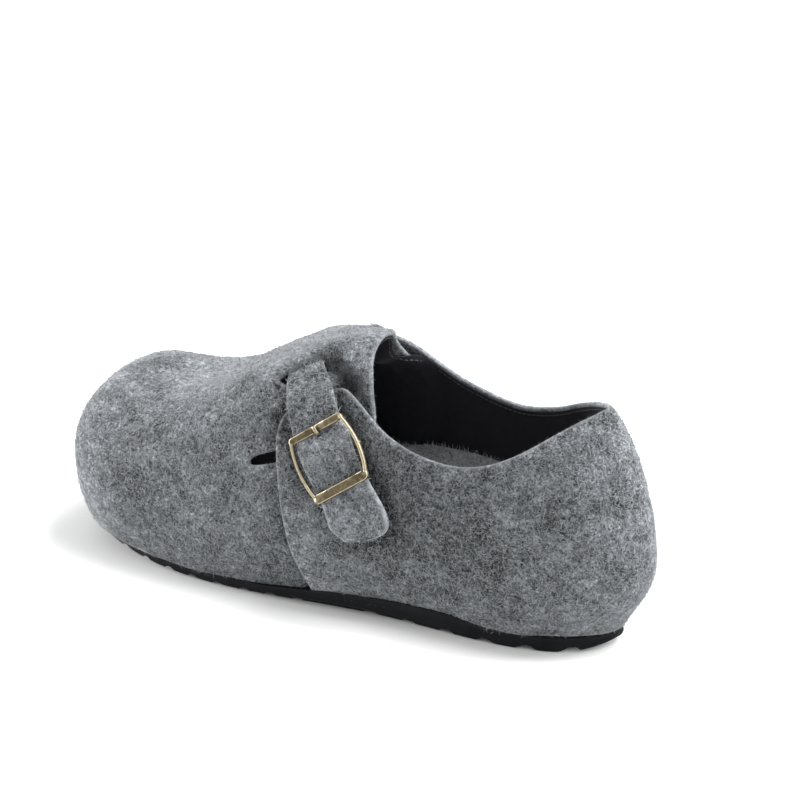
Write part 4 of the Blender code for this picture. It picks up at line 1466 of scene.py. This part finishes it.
def make_footbed():
    """Contoured insole: cupped heel, raised inner arch, sides that follow the inside of the upper."""
    rings, normals = skin_rings()
    inner_wall = rings - normals * (WALL + FOOTBED_ROOM)
    edges = [follow(FOOTBED, column, stations())[:, None] for column in ("outer_edge", "inner_edge")]
    lowest = inner_wall[0, :, 2]
    levels = lowest + (ring_of(*edges)[:, 0] - lowest) * np.linspace(0, 1, 7)[:, None]
    sides = np.empty((8, *inner_wall[0].shape))
    sides[0] = inner_wall[0]
    sides[0, :, 2] = sole_edge(LENGTH / 2 - inner_wall[0, :, 0])
    for j in range(inner_wall.shape[1]):
        for axis in range(3):
            sides[1:, j, axis] = np.interp(levels[:, j], inner_wall[:, j, 2], inner_wall[:, j, axis])
    rim = sides[-1]
    spine = middle_line(rim)
    along = np.clip(LENGTH / 2 - spine[:, 0], SPINE_END, LENGTH - SPINE_END)
    spine[:, 0] = LENGTH / 2 - along
    spine[:, 2] = follow(FOOTBED, "middle", along)
    centre = ring_of(spine, spine)
    dish = []
    for share in np.linspace(0.03, 0.96, 22):
        ring = rim + (centre - rim) * share
        ring[:, 2] = centre[:, 2] + (rim[:, 2] - centre[:, 2]) * (1 - share) ** 2
        dish.append(ring)
    footbed = ring_body("plush_footbed", np.concatenate([sides, dish]), middle_line(sides[0]), spine)
    faces = footbed.data.polygons
    tag(footbed.data, "outside", [face.normal.z > PILE_SLOPE and face.center.x > PILE_FRONT * MM for face in faces])
    return footbed


def sole_heights(along):
    """Heights of the sole's bottom and of its top."""
    heel = section("tuck", 0) + BOTTOM_SET_IN
    bevel = HEEL_BEVEL * np.clip(1 - (along - heel) / HEEL_BEVEL_LENGTH, 0, 1) ** 2
    return spring(along) + bevel, sole_edge(along) + sole_wall(along)


def sole_wall(along):
    """How far the sole's side rises over the felt's lower edge."""
    return np.interp(along, SOLE_WALL["along"], SOLE_WALL["rise"])


def make_outsole():
    """Rubber sole with toe spring, bevelled heel, rounded bottom edge, a side that rises at the waist, and lugs."""
    station = stations()
    felt_edge = sole_edge(station)
    to_widest = widest_line(station) - felt_edge
    tuck = section("tuck", station)[:, None]
    swell = SWELL_SHARE * sole_wall(station) + overlay(np.minimum(station, LENGTH - station))
    toe = TOE_DRAWN * np.clip((station - TOE_DRAWN_FROM) / TOE_DRAWN_LENGTH, 0, 1)
    sides = []
    for inner_side in (False, True):
        edge, spine = edge_and_spine(station, np.full(station.shape, inner_side))
        unit = unit_rows(spine - edge)
        column = []
        for inset, rise in zip(*SOLE_ROWS.values()):
            drawn = (HEEL_DRAWN * min(rise, 1) - HEEL_FLARE) * bell(station, HEEL_DRAWN_LENGTH) + toe
            drawn = (drawn - swell * np.clip((rise - 1) / SWELL_RISE, 0, 1))[:, None]
            floor, top = sole_heights((edge + unit * (tuck + inset + drawn))[:, 0])
            side = np.minimum(floor + SIDE_FOOT, top - SIDE_LEAST)
            low = floor + (side - floor) * min(rise, 1)
            height = low + (top - low) * max(rise - 1, 0)
            above = np.clip((height - felt_edge) / to_widest, 0, 1)[:, None]
            plan = edge + unit * (tuck * (1 - above) ** 2 + inset + drawn)
            column.append(place(plan[:, 0], plan[:, 1], height))
        sides.append(np.array(column))
    lines = [0.5 * (sides[0][row] + sides[1][row]) for row in (0, -1)]
    sole = cut(ring_body("rubber_sole", ring_of(*sides), *lines), lug_grooves())
    sole.data.set_sharp_from_angle(angle=LUG_SHARP)
    return sole


def lug_grooves():
    """Cross grooves between the lugs, rounded in the tread and flaring at the floor."""
    half = list(zip(*GROOVE.values()))
    profile = [(-beside, down) for beside, down in half[::-1]] + half
    points = []
    faces = []
    for first, last, pitch in zip(*LUGS.values()):
        for along in np.arange(first, last, pitch):
            start = len(points)
            for across in (-GROOVE_REACH, GROOVE_REACH):
                for beside, down in profile:
                    height = spring(along) + GROOVE_DEPTH * (1 - down)
                    points.append(place(along + beside * GROOVE_SHARE * pitch, across, height))
            faces.extend([start + corner for corner in face] for face in loft_faces(2, len(profile)))
    return outward(mesh_object("lug_grooves", points, faces, smooth=False))


class Value:
    """A number that varies over a surface; arithmetic on it adds Math nodes."""

    def __init__(self, look, socket):
        self.look = look
        self.socket = socket

    def math(self, operation, *values, clamp=False):
        settings = {"operation": operation, "use_clamp": clamp}
        node = self.look.node("ShaderNodeMath", settings, dict(enumerate(values)))
        return Value(self.look, node.outputs[0])

    def __add__(self, other):
        return self.math("ADD", self, other)

    def __sub__(self, other):
        return self.math("SUBTRACT", self, other)

    def __rsub__(self, other):
        return self.math("SUBTRACT", other, self)

    def __mul__(self, other):
        return self.math("MULTIPLY", self, other)

    def __truediv__(self, other):
        return self.math("DIVIDE", self, other)

    __radd__ = __add__
    __rmul__ = __mul__

    def within(self, low, high):
        """0 below the low value, 1 above the high one, even between them."""
        return self.math("MULTIPLY_ADD", self, 1 / (high - low), -low / (high - low), clamp=True)


def add_node(tree, kind, settings, sockets):
    """A node of a tree: its settings first, then the values or links of its sockets by name or number."""
    node = tree.nodes.new(kind)
    for name, value in settings.items():
        setattr(node, name, value)
    for name, value in sockets.items():
        if isinstance(value, Value):
            value = value.socket
        if isinstance(value, bpy.types.NodeSocket):
            tree.links.new(value, node.inputs[name])
        else:
            node.inputs[name].default_value = value
    return node


def socket_name(keyword):
    """Name of a shader's socket as it is written in the node."""
    return keyword.replace("_", " ").title().replace("Ior", "IOR")


class Look:
    """A material: its shader's constant values, and the nodes that vary them."""

    def __init__(self, name, **constants):
        self.material = bpy.data.materials.new(name)
        self.material.use_nodes = True
        self.tree = self.material.node_tree
        self.shader = self.tree.nodes["Principled BSDF"]
        for label, value in constants.items():
            self.shader.inputs[socket_name(label)].default_value = value

    def node(self, kind, settings, sockets):
        """A node of the material."""
        return add_node(self.tree, kind, settings, sockets)

    def feed(self, **values):
        """The material, with values linked to its shader."""
        for label, value in values.items():
            socket = value.socket if isinstance(value, Value) else value
            self.tree.links.new(socket, self.shader.inputs[socket_name(label)])
        return self.material

    def place(self, scale=(1, 1, 1), turn=(0, 0, 0)):
        """Object coordinates, stretched and turned."""
        source = self.node("ShaderNodeTexCoord", {}, {}).outputs["Object"]
        return self.node("ShaderNodeMapping", {}, {"Vector": source, "Rotation": turn, "Scale": scale}).outputs[0]

    def noise(self, size, detail=2, roughness=0.5, distortion=0.0, scale=(1, 1, 1), turn=(0, 0, 0)):
        """Noise with spots of a size in millimetres."""
        sockets = {
            "Vector": self.place(scale, turn),
            "Scale": 1000 / size,
            "Detail": detail,
            "Roughness": roughness,
            "Distortion": distortion,
        }
        return Value(self, self.node("ShaderNodeTexNoise", {}, sockets).outputs[0])

    def attribute(self, name):
        """A number that the mesh carries."""
        return Value(self, self.node("ShaderNodeAttribute", {"attribute_name": name}, {}).outputs["Fac"])

    def mix(self, amount, first, second):
        """A colour between two others."""
        sockets = {0: amount, 6: first, 7: second}
        return self.node("ShaderNodeMix", {"data_type": "RGBA"}, sockets).outputs[2]

    def bump(self, height, distance, strength=1.0):
        """Normals of a relief whose height is in millimetres."""
        sockets = {"Height": height, "Distance": distance * MM, "Strength": strength}
        return self.node("ShaderNodeBump", {}, sockets).outputs[0]


def grey(value, tint=(0.945, 1.0, 1.055)):
    """A grey with a faint tint, as the wool has."""
    return (*[value * share for share in tint], 1)


def felt_look(name, light, raw, rim, edge_wear_and_highlight):
    """Pressed wool: mottled grey, dark flecks, crossing fibres, pale raw edges partly painted highlight, painted
    shading.
    """
    sheen = {"sheen_weight": 0.3, "sheen_roughness": 0.4, "sheen_tint": grey(0.9)}
    look = Look(name, roughness=0.95, specular_ior_level=0.12, **sheen)
    cloud = look.noise(24, 3, 0.6)
    mottle = look.noise(7, 2, 0.55)
    fleck = look.noise(2.2, 2, 0.55, 0.5)
    grain = look.noise(0.85, 2, 0.6, 0.3)
    streaks = [
        look.noise(2.0, 2, 0.5, 0.6, scale, turn)
        for scale, turn in (((1, 5, 5), (0.3, 0.2, 0.5)), ((5, 1, 5), (0.1, 0.9, 0.2)), ((5, 5, 1), (0.6, 0.4, 0.1)))
    ]
    fibre = (streaks[0] + streaks[1] + streaks[2]) / 3
    tone = (fleck - 0.5) * 0.85 + (mottle - 0.5) * 0.58 + (cloud - 0.5) * 0.5
    # The shade attribute adds the painted light and painted shade that the mesh carries
    tone = tone + (grain - 0.5) * 1.2 + (fibre - 0.5) * 1.15 + look.attribute("shade") + 0.5
    tone = tone.within(0.0, 1.0)
    colour = look.mix(tone * tone, grey(0.004), grey(light))
    # Pale raw edges: the paler cut edge together with a painted highlight where its fibres catch the light
    edge = 1 - look.attribute("edge").within(0.1, rim)
    colour = look.mix(edge * edge_wear_and_highlight, colour, grey(raw))
    height = fleck * 0.4 + grain * 0.5 + fibre * 0.6
    return look.feed(base_color=colour, normal=look.bump(height, 0.5, 0.8))


def fuzz_look(name, light, dark):
    """Loose fibres, each of its own grey."""
    look = Look(name, roughness=0.9, sheen_weight=0.2, sheen_roughness=0.6, specular_ior_level=0.1)
    return look.feed(base_color=look.mix(look.attribute("tone"), grey(dark), grey(light)))


def lining_look():
    """Black brushed cloth with a faint weave."""
    look = Look("black_lining", roughness=0.92, sheen_weight=0.06, sheen_roughness=0.5, specular_ior_level=0.12)
    weave = look.noise(0.9, 2, 0.6, 0.3, (1, 3, 1)) + look.noise(0.9, 2, 0.6, 0.3, (3, 1, 3))
    cloud = look.noise(12, 3, 0.6)
    tone = (weave * 0.5 + cloud * 0.6).within(0.3, 0.8)
    colour = look.mix(tone, (0.006, 0.006, 0.008, 1), (0.016, 0.0155, 0.02, 1))
    return look.feed(base_color=colour, normal=look.bump(weave, 0.25, 0.8))


def plush_look():
    """Curly grey ground of the plush, between the fibres of its pile."""
    look = Look("plush_insole", roughness=0.95, sheen_weight=0.25, sheen_roughness=0.6, specular_ior_level=0.1)
    curl = look.noise(2.4, 3, 0.6, 0.8)
    colour = look.mix(curl.within(0.3, 0.7), (0.12, 0.12, 0.125, 1), (0.5, 0.5, 0.51, 1))
    return look.feed(base_color=colour, normal=look.bump(curl, 1.2, 1.0))


def rubber_look():
    """Near-black foam rubber, faintly pitted."""
    look = Look("black_rubber", specular_ior_level=0.12)
    pit = look.noise(0.7, 3, 0.6)
    cloud = look.noise(9, 3, 0.6)
    colour = look.mix(cloud.within(0.35, 0.7), (0.003, 0.0033, 0.004, 1), (0.007, 0.0075, 0.009, 1))
    bump = look.bump(pit + cloud * 0.5, 0.25, 0.6)
    return look.feed(base_color=colour, roughness=cloud * 0.25 + 0.55, normal=bump)


def brass_look():
    """Antique brass: dark brushed flats, bright rubbed edges, and painted shade, near black, on the back of the
    rivet.
    """
    look = Look("antique_brass", metallic=1.0)
    brushed = look.noise(0.8, 3, 0.7, 0.0, (1, 1, 6), (0.5, 0.3, 0.2))
    spot = look.noise(1.6, 4, 0.65)
    wear = look.attribute("wear")
    bright = (wear * 0.62 + (brushed - 0.5) * 0.9 + (spot - 0.5) * 0.7 + 0.02).within(0.0, 0.85)
    colour = look.mix(bright, (0.085, 0.068, 0.039, 1), (0.52, 0.45, 0.32, 1))
    # Below 0 the mark means the rivet's washer inside: painted shade, near black
    colour = look.mix((0 - wear).within(0.1, 0.9), colour, (0.02, 0.019, 0.018, 1))
    return look.feed(
        base_color=colour,
        roughness=0.54 - bright * 0.18 + (spot - 0.5) * 0.12,
        normal=look.bump(brushed * 0.6 + spot * 0.4, 0.08, 0.5),
    )


SOCKETS = {
    bpy.types.Object: "NodeSocketObject",
    bpy.types.Material: "NodeSocketMaterial",
    int: "NodeSocketInt",
    float: "NodeSocketFloat",
}


class Shapes:
    """A Geometry Nodes tree with named inputs, run once on an object."""

    def __init__(self, name, sizes):
        self.group = bpy.data.node_groups.new(name, "GeometryNodeTree")
        self.sizes = sizes
        self.identifiers = {}
        self.group.interface.new_socket("Geometry", in_out="INPUT", socket_type="NodeSocketGeometry")
        for label, value in sizes.items():
            socket = self.group.interface.new_socket(label, in_out="INPUT", socket_type=SOCKETS[type(value)])
            self.identifiers[label] = socket.identifier
        self.group.interface.new_socket("Geometry", in_out="OUTPUT", socket_type="NodeSocketGeometry")
        self.inputs = self.group.nodes.new("NodeGroupInput").outputs

    def node(self, kind, settings, sockets):
        """A node of the tree."""
        return add_node(self.group, kind, settings, sockets)

    def random(self, low, high, seed):
        """A random number for each element."""
        sockets = {2: low, 3: high, "Seed": seed}
        return self.node("FunctionNodeRandomValue", {"data_type": "FLOAT"}, sockets).outputs[1]

    def run(self, name, source, result):
        """A new plain mesh object made from a source object by the tree that ends in a result socket."""
        real = self.node("GeometryNodeRealizeInstances", {}, {"Geometry": result}).outputs[0]
        sockets = {"Geometry": real, "Material": self.inputs["Material"]}
        painted = self.node("GeometryNodeSetMaterial", {}, sockets).outputs[0]
        self.group.links.new(painted, self.group.nodes.new("NodeGroupOutput").inputs[0])
        modifier = source.modifiers.new(name, "NODES")
        modifier.node_group = self.group
        for label, value in self.sizes.items():
            modifier[self.identifiers[label]] = value
        mesh = plain_mesh(source)
        source.modifiers.remove(modifier)
        mesh.name = name
        return new_object(name, mesh)


FIBRE_TAPER = 0.25


def fibre_mesh(name, line, width):
    """One flat tapering fibre along a line of (forward, up) points in millimetres."""
    points = []
    faces = []
    for i, (forward, up) in enumerate(line[:-1]):
        half = width / 2 * (1 - FIBRE_TAPER * i)
        points.extend([(forward, -half, up), (forward, half, up)])
        if i:
            faces.append((2 * i - 2, 2 * i, 2 * i + 1, 2 * i - 1))
    points.append((line[-1][0], 0, line[-1][1]))
    faces.append((len(points) - 3, len(points) - 1, len(points) - 2))
    return mesh_object(name, points, faces, smooth=False)


def make_fuzz(name, source, where, fibre, density, lengths, tilts, material, seed):
    """Fibres on the marked faces of a piece, each at its own tilt, turn, length and tone."""
    sizes = {
        "Fibre": fibre,
        "Density": density / MM**2,
        "Shortest": lengths[0],
        "Longest": lengths[1],
        "Least tilt": tilts[0],
        "Most tilt": tilts[1],
        "Seed": seed,
        "Material": material,
    }
    tree = Shapes(name, sizes)
    given = tree.inputs
    outside = tree.node("GeometryNodeInputNamedAttribute", {"data_type": "BOOLEAN"}, {"Name": where}).outputs[0]
    scatter = tree.node(
        "GeometryNodeDistributePointsOnFaces",
        {"distribute_method": "RANDOM"},
        {"Mesh": given["Geometry"], "Selection": outside, "Density": given["Density"], "Seed": given["Seed"]},
    )
    tilt = tree.random(given["Least tilt"], given["Most tilt"], 1)
    spin = tree.random(0.0, 2 * np.pi, 2)
    euler = tree.node("ShaderNodeCombineXYZ", {}, {"Y": tilt, "Z": spin}).outputs[0]
    turn = tree.node("FunctionNodeEulerToRotation", {}, {0: euler}).outputs[0]
    turned = tree.node(
        "FunctionNodeRotateRotation", {"rotation_space": "LOCAL"}, {0: scatter.outputs["Rotation"], 1: turn}
    ).outputs[0]
    shape = tree.node("GeometryNodeObjectInfo", {}, {"Object": given["Fibre"]}).outputs["Geometry"]
    length = tree.random(given["Shortest"], given["Longest"], 3)
    placed = tree.node(
        "GeometryNodeInstanceOnPoints",
        {},
        {"Points": scatter.outputs["Points"], "Instance": shape, "Rotation": turned, "Scale": length},
    ).outputs[0]
    toned = tree.node(
        "GeometryNodeStoreNamedAttribute",
        {"data_type": "FLOAT", "domain": "INSTANCE"},
        {"Geometry": placed, "Name": "tone", "Value": tree.random(0.0, 1.0, 4)},
    ).outputs[0]
    return tree.run(name, source, toned)


def stitch_mesh():
    """One stitch of thread, lying along X, a millimetre long before it is scaled."""
    rows = []
    turn = round_turn(6)
    for x, radius in ((-0.5, 0.05), (-0.4, 0.12), (0.0, 0.16), (0.4, 0.12), (0.5, 0.05)):
        lift = 0.1 * np.cos(np.pi * x)
        rows.append(np.stack([0 * turn + x, radius * np.cos(turn), radius * np.sin(turn) + lift], 1))
    return loft("stitch", rows)


def make_stitches(name, line, stitch, pitch, length, material):
    """Stitches in a row along a line of points."""
    mesh = bpy.data.meshes.new("seam_line")
    mesh.from_pydata((line * MM).tolist(), [(i, i + 1) for i in range(len(line) - 1)], [])
    path = new_object("seam_line", mesh)
    tree = Shapes(name, {"Stitch": stitch, "Pitch": pitch * MM, "Length": length, "Material": material})
    given = tree.inputs
    curve = tree.node("GeometryNodeMeshToCurve", {}, {"Mesh": given["Geometry"]}).outputs[0]
    spots = tree.node("GeometryNodeCurveToPoints", {"mode": "LENGTH"}, {"Curve": curve, "Length": given["Pitch"]})
    shape = tree.node("GeometryNodeObjectInfo", {}, {"Object": given["Stitch"]}).outputs["Geometry"]
    tangent = {"Vector": spots.outputs["Tangent"]}
    along = tree.node("FunctionNodeAlignRotationToVector", {"axis": "X"}, tangent).outputs[0]
    sockets = {"Points": spots.outputs["Points"], "Instance": shape, "Rotation": along, "Scale": given["Length"]}
    placed = tree.node("GeometryNodeInstanceOnPoints", {}, sockets).outputs[0]
    stitches = tree.run(name, path, placed)
    bpy.data.objects.remove(path)
    return stitches


def lining_seam():
    """Line of the seam that holds the lining, on its inner face."""
    flat = evenly(set_in(lining_edge(), SEAM_SET_IN), SEAM_SPACING)[4:-4]
    spot = skin_place(flat)
    points = skin(*spot)
    return points + skin_normal(*spot) * (lining_lift(flat, points) - LINING_THICK - SEAM_LIFT)[:, None]


def dress(piece, material, slot, *nodes):
    """Material and body of a finished piece, and the solids it stands for; its slot is not used."""
    if material is not None:
        piece.data.materials.clear()
        piece.data.materials.append(material)
    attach(piece, "root")
    if nodes:
        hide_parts(*nodes)
    return piece


def build():
    """All pieces of the shoe: first those that stand for solids and the lining, then fibres, pile and stitches."""
    felt = felt_look("grey_felt", light=0.412, raw=0.2, rim=0.8, edge_wear_and_highlight=0.3)
    # The strap's felt has wider, paler edges: its cut edges, with more painted highlight round the tail
    strap_felt = felt_look("strap_felt", light=0.41, raw=0.42, rim=2.0, edge_wear_and_highlight=0.65)
    fuzz = fuzz_look("wool_fibres", light=0.3, dark=0.03)
    pile = fuzz_look("plush_pile", light=0.95, dark=0.3)
    brass = brass_look()
    seat = buckle_seat()
    vamp = dress(make_vamp(), felt, "upper", "upper")
    quarter = dress(make_quarter(), felt, "upper", "upper")
    dress(make_lining(), lining_look(), "upper")
    strap = dress(make_strap(), strap_felt, "strap", "strap")
    dress(make_buckle_frame(seat), brass, "buckle_frame", "buckle_frame")
    dress(make_prong(seat), brass, "buckle_prong", "buckle_prong")
    dress(make_rivet(), brass, "rivet", "rivet")
    footbed = dress(make_footbed(), plush_look(), "footbed", "footbed")
    dress(make_outsole(), rubber_look(), "outsole", "outsole")
    lying = fibre_mesh("lying_fibre", [(0, 0), (0.45, 0.12), (1.0, 0.1)], width=0.06)
    standing = fibre_mesh("standing_fibre", [(0, 0), (0.3, 0.5), (0.8, 0.7)], width=0.064)
    tuft = fibre_mesh("pile_fibre", [(0, 0), (0.22, 0.6), (0.6, 0.85)], width=0.037)
    stitch = stitch_mesh()
    for number, piece in enumerate((vamp, quarter, strap)):
        slot = "strap" if piece is strap else "upper"
        for label, where, fibre, density, lengths, tilts in (
            ("nap", "field", lying, 1.4, (1.2, 3.4), (-0.25, 0.05)),
            ("fuzz", "outside", standing, 1.3, (0.5, 1.5), (-0.2, 0.9)),
        ):
            name = f"{piece.name}_{label}"
            dress(make_fuzz(name, piece, where, fibre, density, lengths, tilts, fuzz, number), None, slot)
    sizes = {"density": 4.4, "lengths": (1.4, 3.0), "tilts": (-0.9, 0.9)}
    tufts = make_fuzz("insole_pile", footbed, "outside", tuft, **sizes, material=pile, seed=7)
    dress(tufts, None, "footbed")
    thread = Look("grey_thread", base_color=grey(0.065), roughness=0.8).material
    seam = make_stitches("lining_stitches", lining_seam(), stitch, pitch=2.3, length=1.8, material=thread)
    dress(seam, None, "upper")
    for sample in (lying, standing, tuft, stitch):
        bpy.data.objects.remove(sample)


# Stage: half the side of the floor, light of the sky, the lamps with place, size and power, and where they aim
FLOOR = 4000
SKY_LIGHT = 0.8
LAMPS = (
    ("rear_high", (0.55, 0.36, 1.45), (0.9, 0.9), 40.0),
    ("toe_low", (-1.48, -0.2, 0.2), (1.0, 0.3), 51.0),
    ("heel_side", (1.3, 0.9, 0.8), (0.8, 0.8), 27.0),
    ("heel_low", (1.6, 0.1, 0.3), (1.0, 0.4), 12.0),
)
LAMP_AIM = (0, 0, 0.05)


def make_stage():
    """White floor and soft light from above, from behind and low from both ends."""
    floor = mesh_object("floor", [(FLOOR * x, FLOOR * y, 0) for x, y in QUADRANTS], [(0, 1, 2, 3)])
    white = Look("white_floor", base_color=(0.76, 0.76, 0.76, 1), roughness=0.9)
    floor.data.materials.append(white.material)
    world = bpy.data.worlds.new("soft_white")
    world.use_nodes = True
    sky = world.node_tree.nodes["Background"].inputs
    sky["Color"].default_value = (1, 1, 1, 1)
    sky["Strength"].default_value = SKY_LIGHT
    bpy.context.scene.world = world
    for name, spot, size, power in LAMPS:
        light = bpy.data.lights.new(name, "AREA")
        light.shape = "RECTANGLE"
        light.size, light.size_y = size
        light.energy = power
        lamp = new_object(name, light)
        lamp.location = spot
        lamp.rotation_euler = (-Vector(spot) + Vector(LAMP_AIM)).to_track_quat("-Z", "Y").to_euler()


# Camera: direction to the shoe, distance, roll, and where the photograph has the shoe's middle
CAMERA_TURN = np.radians(27.69)
CAMERA_RISE = np.radians(25.95)
CAMERA_ROLL = np.radians(0.75)
CAMERA_DISTANCE = 917.0
PIXELS_PER_MM = 2.3764
TARGET_HEIGHT = 40.0
TARGET_PIXEL = (366.76, 485.98)
PICTURE = 800.0
SENSOR = 36.0


def make_camera():
    """The camera, set as it was for the photograph."""
    data = bpy.data.cameras.new("camera")
    data.sensor_width = SENSOR
    data.lens = PIXELS_PER_MM * CAMERA_DISTANCE / PICTURE * SENSOR
    back = np.array(
        [
            np.sin(CAMERA_TURN) * np.cos(CAMERA_RISE),
            -np.cos(CAMERA_TURN) * np.cos(CAMERA_RISE),
            np.sin(CAMERA_RISE),
        ]
    )
    target = np.array([0.0, -MIDDLE_ACROSS, TARGET_HEIGHT])
    data.shift_x = (PICTURE / 2 - TARGET_PIXEL[0]) / PICTURE
    data.shift_y = (TARGET_PIXEL[1] - PICTURE / 2) / PICTURE
    data.clip_start = 0.05
    camera = new_object("camera", data)
    camera.location = Vector((target + back * CAMERA_DISTANCE) * MM)
    turn = Vector(back).to_track_quat("Z", "Y")
    turn.rotate(Quaternion(Vector(back), CAMERA_ROLL))
    camera.rotation_euler = turn.to_euler()
    bpy.context.scene.camera = camera


build()
make_stage()
make_camera()
bpy.context.scene.view_settings.view_transform = "Standard"
